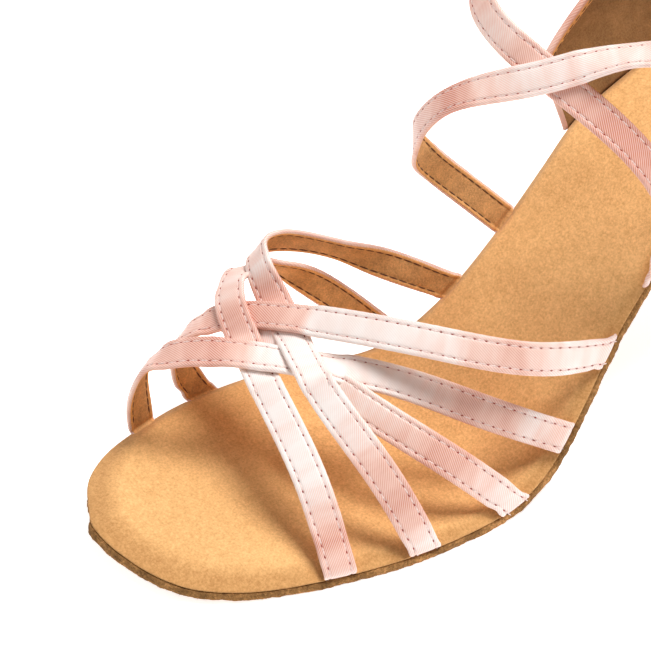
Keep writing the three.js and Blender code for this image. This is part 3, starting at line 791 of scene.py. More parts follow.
def lap_point(spec, k):
    """Place and face of an instep strap where it lies on the counter, 0 its front and 1 its end."""
    side = -spec["side"]
    s = spec["to"] * LENGTH - LAP_LENGTH * (1 - k)
    level = spec["rise"] - 0.1 * k
    place = counter_face(OUTLINE.at(side, s), level, COUNTER_WALL + strap_half() + 0.2 + GAP * (1 - k))
    up = (counter_face(OUTLINE.at(side, s), level + 0.1, 0)
          - counter_face(OUTLINE.at(side, s), level - 0.1, 0))
    run = (counter_face(OUTLINE.at(side, s + 2), level, 0)
           - counter_face(OUTLINE.at(side, s - 2), level, 0))
    return place, run.cross(up).normalized() * side


# Meshes


def skin(rings, across, walks, spans, closed=True, painted_lights=None):
    """Quads between rings; across and walks give the surface's own coordinates in mm."""
    width = len(rings[0])
    verts = [p * 0.001 for ring in rings for p in ring]
    faces, uvs, looks = [], [], []
    columns = width if closed else width - 1
    for r in range(len(rings) - 1):
        for k in range(columns):
            n = (k + 1) % width
            faces.append((r * width + k, r * width + n, (r + 1) * width + n, (r + 1) * width + k))
            uvs += [(walks[r], across[k]), (walks[r], across[k + 1]),
                    (walks[r + 1], across[k + 1]), (walks[r + 1], across[k])]
            looks.append(spans[k])
    # painted_lights, when given, is the satin's painted light of each ring, spread to its points
    return {"verts": verts, "faces": faces, "uvs": uvs, "looks": looks,
            "painted_lights": [t for t, ring in zip(painted_lights, rings) for _ in ring] if painted_lights else None}


def cap(part, ring, size, look):
    """Closes an end ring with one face."""
    part["faces"].append(tuple(ring * size + k for k in range(size)))
    part["uvs"] += [(0.0, 0.0)] * size
    part["looks"].append(look)


def close_ends(part, rings, first=0, last=0):
    """Closes the first and the last ring of a skin."""
    cap(part, 0, len(rings[0]), first)
    cap(part, len(rings) - 1, len(rings[0]), last)


def merged(parts):
    whole = {"verts": [], "faces": [], "uvs": [], "looks": [], "painted_lights": []}
    for part in parts:
        base = len(whole["verts"])
        whole["verts"] += part["verts"]
        whole["faces"] += [tuple(i + base for i in face) for face in part["faces"]]
        whole["uvs"] += part["uvs"]
        whole["looks"] += part["looks"]
        whole["painted_lights"] += part["painted_lights"] or [0.0] * len(part["verts"])
    return whole


def piece(name, part, materials):
    """An object from a part's points and faces, doubles merged and faces turned outwards."""
    mesh = bpy.data.meshes.new(name)
    mesh.from_pydata(part["verts"], [], part["faces"])
    layer = mesh.uv_layers.new(name="surface")
    layer.data.foreach_set("uv", [c for uv in part["uvs"] for c in uv])
    mesh.polygons.foreach_set("material_index", part["looks"])
    # The satin's painted light at each point: 0 a pale painted highlight, 1 salmon painted shade
    if part["painted_lights"]:
        painted_light = mesh.attributes.new("painted_light", "FLOAT", "POINT")
        painted_light.data.foreach_set("value", part["painted_lights"])
    for material in materials:
        mesh.materials.append(material)
    work = bmesh.new()
    work.from_mesh(mesh)
    bmesh.ops.remove_doubles(work, verts=work.verts, dist=2e-6)
    bmesh.ops.recalc_face_normals(work, faces=work.faces)
    work.to_mesh(mesh)
    work.free()
    mesh.polygons.foreach_set("use_smooth", [True] * len(mesh.polygons))
    mesh.update()
    made = bpy.data.objects.new(name, mesh)
    bpy.context.scene.collection.objects.link(made)
    return made


def fit(made, slot, *nodes):
    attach(made, "root")
    if nodes:
        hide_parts(*nodes)


# Finishes


class Nodes:
    """Short ways to add and join the nodes of a tree."""

    def node(self, kind, **settings):
        made = self.tree.nodes.new(kind)
        for key, value in settings.items():
            setattr(made, key, value)
        return made

    def join(self, a, a_socket, b, b_socket):
        self.tree.links.new(a.outputs[a_socket], b.inputs[b_socket])


class Finish(Nodes):
    """A node material round one shader."""

    def __init__(self, name):
        self.material = bpy.data.materials.get(name) or bpy.data.materials.new(name)
        self.material.use_nodes = True
        self.tree = self.material.node_tree
        self.tree.nodes.clear()
        out = self.node("ShaderNodeOutputMaterial")
        self.shader = self.node("ShaderNodeBsdfPrincipled")
        self.join(self.shader, "BSDF", out, "Surface")

    def set(self, **values):
        for key, value in values.items():
            name = key.replace("_", " ")
            socket = next(s for s in self.shader.inputs if s.name.lower() == name.lower())
            socket.default_value = value

    def objects(self):
        """Places in the object's own metres."""
        shift = self.node("ShaderNodeMapping")
        self.join(self.node("ShaderNodeTexCoord"), "Object", shift, "Vector")
        return shift

    def surface(self, scale=(1, 1, 1), turn=0):
        """Places on the surface, along and across in mm, scaled and turned by degrees."""
        shift = self.node("ShaderNodeMapping")
        shift.inputs["Scale"].default_value = scale
        shift.inputs["Rotation"].default_value = (0, 0, math.radians(turn))
        self.join(self.node("ShaderNodeUVMap", uv_map="surface"), "UV", shift, "Vector")
        return shift

    def noise(self, where, scale, detail=3.0, rough=0.55):
        made = self.node("ShaderNodeTexNoise")
        made.inputs["Scale"].default_value = scale
        made.inputs["Detail"].default_value = detail
        made.inputs["Roughness"].default_value = rough
        self.join(where, "Vector", made, "Vector")
        return made

    def wave(self, where, scale, warp=0.0):
        made = self.node("ShaderNodeTexWave", wave_type="BANDS", bands_direction="X")
        made.inputs["Scale"].default_value = scale
        made.inputs["Distortion"].default_value = warp
        made.inputs["Detail"].default_value = 1.0
        self.join(where, "Vector", made, "Vector")
        return made

    def ramp(self, source, socket, stops):
        made = self.node("ShaderNodeValToRGB")
        band = made.color_ramp
        while len(band.elements) > 1:
            band.elements.remove(band.elements[-1])
        band.elements[0].position = stops[0][0]
        band.elements[0].color = (*stops[0][1], 1)
        for place, value in stops[1:]:
            band.elements.new(place).color = (*value, 1)
        self.join(source, socket, made, "Fac")
        return made

    def blend(self, kind, share, a, b):
        """Mixes two colours; each is a (node, socket) pair or a plain colour."""
        made = self.node("ShaderNodeMix", data_type="RGBA", blend_type=kind)
        for key, value in ((0, share), (6, a), (7, b)):
            if isinstance(value, tuple) and hasattr(value[0], "outputs"):
                self.tree.links.new(value[0].outputs[value[1]], made.inputs[key])
            elif isinstance(value, (int, float)):
                made.inputs[key].default_value = value
            else:
                made.inputs[key].default_value = (*value, 1)
        return made

    def math(self, kind, a, b=0.0, c=0.0):
        made = self.node("ShaderNodeMath", operation=kind)
        for key, value in ((0, a), (1, b), (2, c)):
            if isinstance(value, tuple):
                self.tree.links.new(value[0].outputs[value[1]], made.inputs[key])
            else:
                made.inputs[key].default_value = value
        return made

    def layered(self, *layers):
        """Textures added up by their shares."""
        total = 0.0
        for texture, share in layers:
            total = (self.math("MULTIPLY_ADD", (texture, "Fac"), share, total), "Value")
        return total

    def paint(self, source, stops):
        """Colours the shader by a ramp over a (node, socket) pair."""
        self.join(self.ramp(*source, stops), "Color", self.shader, "Base Color")

    def gloss(self, texture, low, high):
        """Roughness between two values, after a texture."""
        spread = self.node("ShaderNodeMapRange")
        spread.inputs["To Min"].default_value = low
        spread.inputs["To Max"].default_value = high
        self.join(texture, "Fac", spread, "Value")
        self.join(spread, "Result", self.shader, "Roughness")

    def relief(self, texture, strength, distance):
        """Adds a bump after a texture, on top of those added before."""
        made = self.node("ShaderNodeBump")
        made.inputs["Strength"].default_value = strength
        made.inputs["Distance"].default_value = distance
        self.join(texture, "Fac", made, "Height")
        before = self.shader.inputs["Normal"]
        if before.is_linked:
            self.tree.links.new(before.links[0].from_socket, made.inputs["Normal"])
        self.join(made, "Normal", self.shader, "Normal")


def satin():
    """Silk-faced satin: pale reaches of painted highlight and salmon reaches of painted shade, twill
    lines painted lighter as a glint, soft gloss.
    """
    f = Finish("satin_pink")
    c = colours()
    pitch = sizes().weave_pitch * 1000
    # Painted light per point: 0 a pale painted highlight, 1 salmon painted shade
    painted_light = f.node("ShaderNodeAttribute", attribute_name="painted_light")
    drift = f.noise(f.surface((0.16, 0.05, 1)), 1.0, 2.0)
    streak = f.noise(f.surface((0.9, 0.16, 1)), 1.0, 2.0)
    total = (painted_light, "Fac")
    for texture, share, start in ((drift, 0.9, -0.45), (streak, 0.14, -0.05)):
        added = f.math("MULTIPLY_ADD", (texture, "Fac"), share, start)
        total = (f.math("ADD", total, (added, "Value")), "Value")
    twill = f.wave(f.surface(turn=52), 2 * math.pi / (20 * pitch), 0.25)
    weave = f.math("MULTIPLY_ADD", (twill, "Fac"), -0.26, 0.07)
    total = (f.math("ADD", total, (weave, "Value")), "Value")
    base = f.ramp(*total, ((0.0, c.satin_pale_highlight), (0.45, c.satin_rose), (1.0, c.satin_salmon_shade)))
    # Twill lines painted towards the highlight colour where the satin is darker: the weave's own pattern
    # with a painted glint
    shine = f.math("MULTIPLY", (twill, "Fac"), total)
    shine = f.math("MULTIPLY", (shine, "Value"), 0.5)
    lined = f.blend("MIX", (shine, "Value"), (base, "Color"), c.satin_pale_highlight)
    f.join(lined, 2, f.shader, "Base Color")
    f.gloss(streak, 0.36, 0.50)
    f.set(Specular_IOR_Level=0.55, Sheen_Weight=0.06, Sheen_Roughness=0.35, Anisotropic=0.45,
          Sheen_Tint=(1.0, 0.86, 0.82, 1))
    f.relief(twill, 0.35, 0.00006)
    crease = f.noise(f.surface((0.55, 0.22, 1)), 1.0, 2.0)
    f.relief(crease, 0.35, 0.0003)
    return f.material


def insole_suede():
    """Tan suede with a brushed nap, painted shade darkening it along the insole's rolled edge."""
    f = Finish("suede_tan")
    c = colours()
    place = f.objects()
    broad = f.noise(place, 45, 3.0)
    mottle = f.noise(place, 420, 4.0, 0.6)
    grain = f.noise(place, 1500, 3.0, 0.75)
    mixed = f.layered((mottle, 0.22), (broad, 0.18), (grain, 0.6))
    base = f.ramp(*mixed, ((0.38, c.suede_dark), (0.62, c.suede_light)))
    row = f.node("ShaderNodeSeparateXYZ")
    f.join(f.surface(), "Vector", row, "Vector")
    row = f.math("MULTIPLY", (row, "Y"), 1 / INSOLE_RING)
    # Painted shade: the nap is darkened on the rolled edge of both sides, where it turns from the light
    plain_nap, shaded_nap = (1, 1, 1), (0.92, 0.90, 0.88)
    edge_shade = f.ramp(row, "Value", (
        (0.11, (0.74, 0.68, 0.62)), (0.15, shaded_nap), (0.172, plain_nap),
        (0.742, plain_nap), (0.765, shaded_nap), (0.80, (0.78, 0.72, 0.66))))
    done = f.blend("MULTIPLY", 1.0, (base, "Color"), (edge_shade, "Color"))
    f.join(done, 2, f.shader, "Base Color")
    f.set(Roughness=0.93, Specular_IOR_Level=0.25, Sheen_Weight=0.2, Sheen_Roughness=0.6,
          Sheen_Tint=(1.0, 0.82, 0.58, 1))
    f.relief(grain, 0.45, 0.00022)
    f.relief(mottle, 0.35, 0.0005)
    return f.material


def raw_suede():
    """Dark raw suede, its cut fibres lighter."""
    f = Finish("suede_raw_brown")
    c = colours()
    place = f.objects()
    grain = f.noise(place, 1500, 4.0, 0.75)
    broad = f.noise(place, 160, 3.0)
    pale = tuple(min(1.0, v * 2.4 + 0.02) for v in c.sole)
    f.paint(f.layered((broad, 0.5), (grain, 0.5)),
            ((0.38, tuple(v * 0.42 for v in c.sole)), (0.52, c.sole), (0.68, pale)))
    f.set(Roughness=1.0, Specular_IOR_Level=0.1, Sheen_Weight=0.08, Sheen_Roughness=0.6,
          Sheen_Tint=(0.9, 0.66, 0.42, 1))
    f.relief(grain, 0.9, 0.0005)
    return f.material


def lining_cloth(name="lining_brown", shade=1.0):
    """Brown microfibre under the straps, darker inside the counter with painted shade."""
    f = Finish(name)
    c = colours()
    place = f.objects()
    grain = f.noise(place, 2000, 3.0, 0.7)
    broad = f.noise(place, 260, 3.0)
    # With shade below 1 the whole lining is darkened: painted shade, as inside the counter
    dark = tuple(v * 0.72 * shade for v in c.lining)
    pale = tuple(min(1.0, v * 1.35 * shade) for v in c.lining)
    f.paint(f.layered((broad, 0.4), (grain, 0.6)), ((0.36, dark), (0.66, pale)))
    f.set(Roughness=0.95, Specular_IOR_Level=0.15, Sheen_Weight=0.06, Sheen_Roughness=0.6)
    f.relief(grain, 0.5, 0.0002)
    return f.material


def lining_margin_lit():
    """The lining's trimmed margin outside the stitches, painted lighter as painted light on its raised
    edge.
    """
    f = Finish("lining_margin_lit")
    c = colours()
    grain = f.noise(f.objects(), 1800, 3.0, 0.7)
    # Painted light: the margin is painted lighter than the lining within the stitches
    dark = tuple(v * 1.1 for v in c.lining)
    pale = tuple(min(1.0, v * 1.5) for v in c.lining)
    f.paint((grain, "Fac"), ((0.35, dark), (0.65, pale)))
    f.set(Roughness=0.95, Specular_IOR_Level=0.2)
    f.relief(grain, 0.5, 0.0002)
    return f.material


def yarn(name, value, rough):
    """Twisted thread or loose fibres of one colour."""
    f = Finish(name)
    strands = f.noise(f.objects(), 3500, 2.0)
    dark = tuple(v * 0.8 for v in value)
    pale = tuple(min(1.0, v * 1.12) for v in value)
    f.paint((strands, "Fac"), ((0.35, dark), (0.65, pale)))
    f.set(Roughness=rough, Specular_IOR_Level=0.4, Sheen_Weight=0.2)
    f.relief(strands, 0.3, 0.0001)
    return f.material


def tip_plastic():
    """Hard plastic of the heel tip, a little scuffed."""
    f = Finish("plastic_tip")
    c = colours()
    place = f.objects()
    grain = f.noise(place, 900, 3.0)
    scuff = f.noise(place, 120, 4.0, 0.6)
    f.paint((scuff, "Fac"), ((0.35, c.tip), (0.75, tuple(v * 1.8 for v in c.tip))))
    f.gloss(scuff, 0.35, 0.6)
    f.relief(grain, 0.2, 0.0002)
    return f.material


def floor_paper():
    """Pale studio paper that glows a little, so that the ground stays even."""
    f = Finish("floor_pale")
    value = tuple(bpy.context.scene.shoe_studio.floor)
    grain = f.noise(f.objects(), 40, 2.0)
    f.paint((grain, "Fac"), ((0.3, tuple(v * 0.99 for v in value)), (0.7, value)))
    f.set(Roughness=0.8, Specular_IOR_Level=0.1, Emission_Strength=0.78, Emission_Color=(1, 1, 1, 1))
    return f.material


# Geometry nodes for what repeats


class Tree(Nodes):
    """A geometry tree with named inputs, for stitches and fibres."""

    def __init__(self, name, inputs):
        self.tree = bpy.data.node_groups.new(name, "GeometryNodeTree")
        face = self.tree.interface
        face.new_socket(name="Guide", in_out="INPUT", socket_type="NodeSocketGeometry")
        self.keys = {}
        for label, kind, value in inputs:
            socket = face.new_socket(name=label, in_out="INPUT", socket_type=kind)
            if value is not None:
                socket.default_value = value
            self.keys[label] = socket.identifier
        face.new_socket(name="Geometry", in_out="OUTPUT", socket_type="NodeSocketGeometry")
        self.source = self.node("NodeGroupInput")
        self.target = self.node("NodeGroupOutput")

    def baked(self, name, guide, values):
        """The tree's result on a guide mesh, as a plain mesh object."""
        made = bpy.data.objects.new(name, guide)
        bpy.context.scene.collection.objects.link(made)
        modifier = made.modifiers.new("made", "NODES")
        modifier.node_group = self.tree
        for label, value in values.items():
            modifier[self.keys[label]] = value
        bpy.context.view_layer.update()
        graph = bpy.context.evaluated_depsgraph_get()
        mesh = bpy.data.meshes.new_from_object(made.evaluated_get(graph))
        made.modifiers.clear()
        made.data = mesh
        mesh.name = name
        if not mesh.polygons:
            raise RuntimeError(f"{name} came out empty")
        return made


def stitch_tree():
    """Beads of thread or needle holes at even steps of a sewn row."""
    t = Tree("sewn_row", (
        ("Pitch", "NodeSocketFloat", 0.003), ("Length", "NodeSocketFloat", 0.002),
        ("Width", "NodeSocketFloat", 0.0004), ("Height", "NodeSocketFloat", 0.0003),
        ("Shift", "NodeSocketFloat", 0.0), ("Finish", "NodeSocketMaterial", None)))
    rows = t.node("GeometryNodeMeshToCurve")
    t.join(t.source, "Guide", rows, "Mesh")
    steps = t.node("GeometryNodeResampleCurve", mode="LENGTH")
    t.join(rows, "Curve", steps, "Curve")
    t.join(t.source, "Pitch", steps, "Length")
    bead = t.node("GeometryNodeMeshUVSphere")
    bead.inputs["Segments"].default_value = 8
    bead.inputs["Rings"].default_value = 6
    bead.inputs["Radius"].default_value = 0.5
    shape = t.node("ShaderNodeCombineXYZ")
    t.join(t.source, "Length", shape, "Z")
    t.join(t.source, "Width", shape, "X")
    t.join(t.source, "Height", shape, "Y")
    move = t.node("ShaderNodeCombineXYZ")
    t.join(t.source, "Shift", move, "Z")
    sized = t.node("GeometryNodeTransform")
    t.join(bead, "Mesh", sized, "Geometry")
    t.join(shape, "Vector", sized, "Scale")
    t.join(move, "Vector", sized, "Translation")
    run = t.node("GeometryNodeInputTangent")
    along = t.node("FunctionNodeAlignRotationToVector", axis="Z")
    t.join(run, "Tangent", along, "Vector")
    face = t.node("GeometryNodeInputNamedAttribute", data_type="FLOAT_VECTOR")
    face.inputs["Name"].default_value = "face"
    upright = t.node("FunctionNodeAlignRotationToVector", axis="Y", pivot_axis="Z")
    t.join(along, "Rotation", upright, "Rotation")
    t.join(face, "Attribute", upright, "Vector")
    beads = t.node("GeometryNodeInstanceOnPoints")
    t.join(steps, "Curve", beads, "Points")
    t.join(sized, "Geometry", beads, "Instance")
    t.join(upright, "Rotation", beads, "Rotation")
    real = t.node("GeometryNodeRealizeInstances")
    t.join(beads, "Instances", real, "Geometry")
    soft = t.node("GeometryNodeSetShadeSmooth")
    t.join(real, "Geometry", soft, "Geometry")
    look = t.node("GeometryNodeSetMaterial")
    t.join(soft, "Geometry", look, "Geometry")
    t.join(t.source, "Finish", look, "Material")
    t.join(look, "Geometry", t.target, "Geometry")
    return t


def fibre_tree():
    """Loose fibres that stand off a raw edge."""
    t = Tree("loose_fibres", (
        ("Length", "NodeSocketFloat", 0.001), ("Width", "NodeSocketFloat", 0.0001),
        ("Density", "NodeSocketFloat", 1000.0), ("Seed", "NodeSocketInt", 1),
        ("Finish", "NodeSocketMaterial", None)))
    points = t.node("GeometryNodeDistributePointsOnFaces", distribute_method="RANDOM")
    t.join(t.source, "Guide", points, "Mesh")
    t.join(t.source, "Density", points, "Density")
    t.join(t.source, "Seed", points, "Seed")
    hair = t.node("GeometryNodeMeshCone")
    hair.inputs["Vertices"].default_value = 3
    hair.inputs["Radius Top"].default_value = 0.1
    hair.inputs["Radius Bottom"].default_value = 0.5
    hair.inputs["Depth"].default_value = 1.0
    shape = t.node("ShaderNodeCombineXYZ")
    t.join(t.source, "Width", shape, "X")
    t.join(t.source, "Width", shape, "Y")
    t.join(t.source, "Length", shape, "Z")
    sized = t.node("GeometryNodeTransform")
    t.join(hair, "Mesh", sized, "Geometry")
    t.join(shape, "Vector", sized, "Scale")
    lean = t.node("FunctionNodeRandomValue", data_type="FLOAT_VECTOR")
    lean.inputs["Min"].default_value = (-1.0, -1.0, -0.9)
    lean.inputs["Max"].default_value = (1.0, 1.0, 0.6)
    t.join(t.source, "Seed", lean, "Seed")
    tilt = t.node("ShaderNodeVectorMath", operation="ADD")
    t.join(points, "Normal", tilt, 0)
    t.tree.links.new(lean.outputs[0], tilt.inputs[1])
    turn = t.node("FunctionNodeAlignRotationToVector", axis="Z")
    t.join(tilt, "Vector", turn, "Vector")
    size = t.node("FunctionNodeRandomValue", data_type="FLOAT")
    size.inputs[2].default_value = 0.35
    size.inputs[3].default_value = 1.0
    t.join(t.source, "Seed", size, "Seed")
    hairs = t.node("GeometryNodeInstanceOnPoints")
    t.join(points, "Points", hairs, "Points")
    t.join(sized, "Geometry", hairs, "Instance")
    t.join(turn, "Rotation", hairs, "Rotation")
    t.tree.links.new(size.outputs[1], hairs.inputs["Scale"])
    real = t.node("GeometryNodeRealizeInstances")
    t.join(hairs, "Instances", real, "Geometry")
    look = t.node("GeometryNodeSetMaterial")
    t.join(real, "Geometry", look, "Geometry")
    t.join(t.source, "Finish", look, "Material")
    t.join(look, "Geometry", t.target, "Geometry")
    return t


# The strap's cross-section

STRAP_COLUMNS = (0.0, 0.5, 1.0, 1.5, 1.9, 2.2, 2.38, 2.5, 2.62, 2.8, 3.0, 3.2)


def strap_section(walk, rows, strap, index):
    """Points of the band's cut across, as across and up, with pucker at the stitches."""
    size = sizes()
    half = size.strap_width * 500
    thick = strap_half()
    row = half - size.stitch_inset * 1000
    scale = row / 2.5
    pucker = {side: 0.5 + 0.5 * math.cos(2 * math.pi * rows[side][index]) for side in (-1, 1)}
    sway = noise.noise(Vector((walk * 0.07, len(strap.spec["name"]) * 3.7, 0.5))) * 0.12
    top, bottom = [], []
    for side in (-1, 1):
        deep = pucker[side]
        marks_top, marks_low = [], []
        for c in STRAP_COLUMNS:
            u = c * scale
            dome = ARCH * (1 - min(u / row, 1.0) ** 2)
            groove = math.exp(-((u - row) / 0.24) ** 2)
            height = thick * CROWN + dome - CROWN_SINK - groove * (0.13 + 0.12 * deep)
            if u > row:
                height += 0.03 * (1 - deep) * math.sin(min((u - row) / 0.8, 1) * math.pi)
            marks_top.append((side * u, height))
        radius = thick * 0.88
        centre = half - radius - 0.03 * deep + sway * 0.3
        for k in range(1, 8):
            a = math.radians(90 - k * 22.5)
            marks_top.append((side * (centre + radius * math.cos(a)), radius * math.sin(a)))
        edge = half - 0.55
        marks_low.append((side * edge, -thick * 0.86))
        marks_low.append((side * (edge - 0.02), -thick))
        for c in (3.1, 2.85, 2.64, 2.5, 2.36, 2.1, 1.4, 0.7):
            u = c * scale
            groove = math.exp(-((u - row) / 0.2) ** 2)
            margin = LINING_MARGIN if u < row - 0.05 else 0.0
            marks_low.append((side * u, -(thick - margin - groove * STITCH_PULL)))
        top.append(marks_top)
        bottom.append(marks_low)
    left_top, right_top = top
    left_low, right_low = bottom
    loop = (list(reversed(left_top[1:])) + right_top + right_low
            + [(0.0, -(thick - 0.13))] + list(reversed(left_low)))
    return loop


def strap_looks():
    """Which finish each column of the section has: satin, margin or lining."""
    upper = (len(STRAP_COLUMNS) + 6) + (len(STRAP_COLUMNS) + 7)
    right = [1] * 4 + [2] * 6
    return [0] * upper + right + [2] + list(reversed(right[:-1])) + [0]


def sewn_rows(strap):
    """Stitch counts walked along each row, so that holes and puckers agree."""
    size = sizes()
    row = (size.strap_width - size.stitch_inset * 2) * 500
    pitch = size.stitch_pitch * 1000
    rows = {}
    for side in (-1, 1):
        points = [r["place"] + r["wide"] * side * row for r in strap.rings]
        first, last = strap.sewn
        total = walked(points[first:last + 1])
        stepped = total[-1] / max(int(total[-1] / pitch), 1)
        counts = [t / stepped for t in total]
        rows[side] = [0.0] * first + counts + [counts[-1]] * (len(points) - last - 1)
    return rows


def band(strap):
    """One strap as a closed skin of satin over its lining."""
    strap.sewn = sewn_span(strap)
    rows = sewn_rows(strap)
    rings, walks, painted_lights = [], [], []
    for i, ring in enumerate(strap.rings):
        section = strap_section(ring["walk"], rows, strap, i)
        near = ring["walk"] if strap.lap else min(ring["walk"], strap.total - ring["walk"])
        thin = PARED + (1 - PARED) * smooth((near - STRAP_TUCK - 0.2) / 1.8)
        narrow = 0.97 + 0.03 * smooth((near - STRAP_TUCK + 0.4) / 2.0)
        if strap.lap:
            rest = strap.total - ring["walk"]
            narrow *= math.sqrt(max(1 - (1 - min(rest / 3.4, 1.0)) ** 2.4, 0.02))
            thin *= math.sqrt(max(1 - (1 - min(rest / 0.8, 1.0)) ** 2, 0.04))
        ring["thin"], ring["narrow"] = thin, narrow
        rings.append([ring["place"] + ring["wide"] * (u * narrow) + ring["up"] * (v * thin)
                      for u, v in section])
        walks.append(ring["walk"])
        # Painted light of this ring from the strap's table: pale painted highlight to salmon painted
        # shade
        painted_lights.append(between(strap.spec["painted_lights"], ring["share"]))
    section = strap_section(0.0, rows, strap, 0)
    start = section[0][0]
    across, total = [start], 0.0
    for a, b in zip(section, section[1:] + section[:1]):
        total += math.hypot(b[0] - a[0], b[1] - a[1])
        across.append(start + total)
    shifted = [w + len(strap.spec["name"]) * 37.0 for w in walks]
    part = skin(rings, across, shifted, strap_looks(), painted_lights=painted_lights)
    close_ends(part, rings, first=2)
    return part


def sewn_span(strap):
    """First and last ring that carry stitches."""
    tuck = int((STRAP_TUCK + 3.4) / strap.step)
    last = len(strap.rings) - 1 - (int(3.0 / strap.step) if strap.lap else tuck)
    return tuck, last


def row_guide(name, straps, level):
    """Lines of the sewn rows, each point with the way that the strap faces."""
    size = sizes()
    row = (size.strap_width - size.stitch_inset * 2) * 500
    verts, edges, faces = [], [], []
    for strap in straps:
        first, last = strap.sewn
        for side in (-1, 1):
            base = len(verts)
            for ring in strap.rings[first:last + 1]:
                verts.append((ring["place"] + ring["wide"] * (side * row * ring["narrow"])
                              + ring["up"] * (level * ring["thin"])) * 0.001)
                faces += list(ring["up"] * (1 if level > 0 else -1))
            edges += [(base + i, base + i + 1) for i in range(last - first)]
    mesh = bpy.data.meshes.new(name)
    mesh.from_pydata(verts, edges, [])
    mesh.attributes.new("face", "FLOAT_VECTOR", "POINT").data.foreach_set("vector", faces)
    return mesh


def sew(prefix, straps):
    """Threads and needle holes of the top side, the holes dark with painted shade, and the lining's seam,
    dark brown as painted shadow in its stitched groove.
    """
    size = sizes()
    c = colours()
    tree = stitch_tree()
    thick = strap_half()
    pitch = size.stitch_pitch
    width = size.thread_width
    upper = thick * CROWN - CROWN_SINK - STITCH_PULL
    # The needle holes are dark with painted shade; the lining's seam is dark brown as painted shadow in
    # its groove
    jobs = (
        ("thread", upper + 0.02, pitch * 0.72, width, width * 0.72, pitch * 0.5,
         yarn("thread_pink", tuple(c.thread), 0.5)),
        ("holes", upper + 0.03, pitch * 0.24, width * 0.9, width * 0.8, 0.0,
         yarn("needle_hole_shade", tuple(c.hole), 0.9)),
        ("seam", -(thick - 0.13), pitch * 0.9, width * 1.25, width * 0.9, pitch * 0.5,
         yarn("thread_shadow_brown", tuple(c.seam), 0.8)),
    )
    for label, level, length, wide, high, shift, look in jobs:
        guide = row_guide(f"{prefix}_{label}_rows", straps, level)
        made = tree.baked(f"{prefix}_{label}", guide, {
            "Pitch": pitch, "Length": length, "Width": wide, "Height": high,
            "Shift": shift, "Finish": look})
        fit(made, "satin")


class SHOE_OT_stage(Operator):
    """Floor, soft light and the camera at the shoe's usual three-quarter view"""
    bl_idname = "shoe.stage"
    bl_label = "Stage"

    def execute(self, context):
        scene = context.scene
        setup = scene.shoe_studio
        mesh = bpy.data.meshes.new("studio_floor")
        corners = [(x * FLOOR_REACH, y * FLOOR_REACH, 0) for x, y in ((-1, -1), (1, -1), (1, 1), (-1, 1))]
        mesh.from_pydata(corners, [], [(0, 1, 2, 3)])
        mesh.materials.append(floor_paper())
        floor = bpy.data.objects.new("studio_floor", mesh)
        scene.collection.objects.link(floor)

        world = bpy.data.worlds.get("studio") or bpy.data.worlds.new("studio")
        world.use_nodes = True
        backdrop = next(n for n in world.node_tree.nodes if n.type == "BACKGROUND")
        backdrop.inputs["Color"].default_value = (1, 1, 1, 1)
        backdrop.inputs["Strength"].default_value = setup.room
        scene.world = world

        self.lamp(scene, "key_light", setup.key, (0.10, 0.45, 1.60), (0, -0.08, 0.03), 0.75, 0.65)
        self.lamp(scene, "fill_light", setup.fill, (-0.6, -1.3, 1.1), (0, -0.10, 0.03), 1.2, 1.0)

        data = bpy.data.cameras.new("camera")
        data.sensor_fit = "HORIZONTAL"
        data.sensor_width = 36.0
        data.lens = setup.lens
        camera = bpy.data.objects.new("camera", data)
        right = Vector(CAMERA_RIGHT).normalized()
        back = Vector(CAMERA_BACK).normalized()
        up = back.cross(right).normalized()
        turn = Matrix((right, up, back)).transposed().to_4x4()
        camera.matrix_world = Matrix.Translation(CAMERA_PLACE) @ turn
        scene.collection.objects.link(camera)
        scene.camera = camera
        scene.view_settings.view_transform = "Standard"
        return {"FINISHED"}

    @staticmethod
    def lamp(scene, name, power, place, target, wide, high):
        data = bpy.data.lights.new(name, "AREA")
        data.shape = "RECTANGLE"
        data.size = wide
        data.size_y = high
        data.energy = power
        lamp = bpy.data.objects.new(name, data)
        lamp.location = place
        aim = Vector(target) - Vector(place)
        lamp.rotation_euler = aim.to_track_quat("-Z", "Y").to_euler()
        scene.collection.objects.link(lamp)


def across_bed(inner, outer, columns, depth):
    """Points between two places of the footbed, from the inner side to the outer one."""
    (xa, sa), (xb, sb) = inner, outer
    points = []
    for c in range(1, columns):
        f = c / columns
        x, s = xa + (xb - xa) * f, sa + (sb - sa) * f
        points.append(on_bed(s, x, depth(s, x, f)))
    return points


def plate(shares, rim, top_columns, low_columns, top_depth, low_depth):
    """A sheet that follows the footbed: rim profile on both sides, columns across."""
    rings, walks = [], []
    walk = 0.0
    for pair in shares:
        profile, ends = {}, {}
        for k, q in zip((-1, 1), pair):
            place = OUTLINE.share(k, q)
            x, s, n = place
            profile[k] = [rim_point(place, out(place, k), depth(place, k)) for out, depth in rim]
            for label, (out, _) in (("top", rim[-1]), ("low", rim[0])):
                reach = out(place, k)
                ends[label, k] = (x + n.x * reach, s + n.y * reach)
        top = across_bed(ends["top", -1], ends["top", 1], top_columns, top_depth)
        low = across_bed(ends["low", -1], ends["low", 1], low_columns, low_depth)
        rings.append(profile[-1] + top + profile[1][::-1] + low[::-1])
        walks.append(walk)
        walk += 0.6
    return rings, walks, [float(k) for k in range(len(rings[0]) + 1)]


def dense_shares(count, end=None):
    """Shares of both sides from toe to end, closer together round the toe and back."""
    shares = []
    last = {k: 1.0 if end is None else OUTLINE.share_at(k, end) for k in (-1, 1)}
    for i in range(count + 1):
        t = i / count
        q = (1 - math.cos(t * math.pi)) / 2 if end is None else 1 - math.cos(t * math.pi / 2)
        q = 0.35 * q + 0.65 * t
        shares.append((q * last[-1], q * last[1]))
    return shares


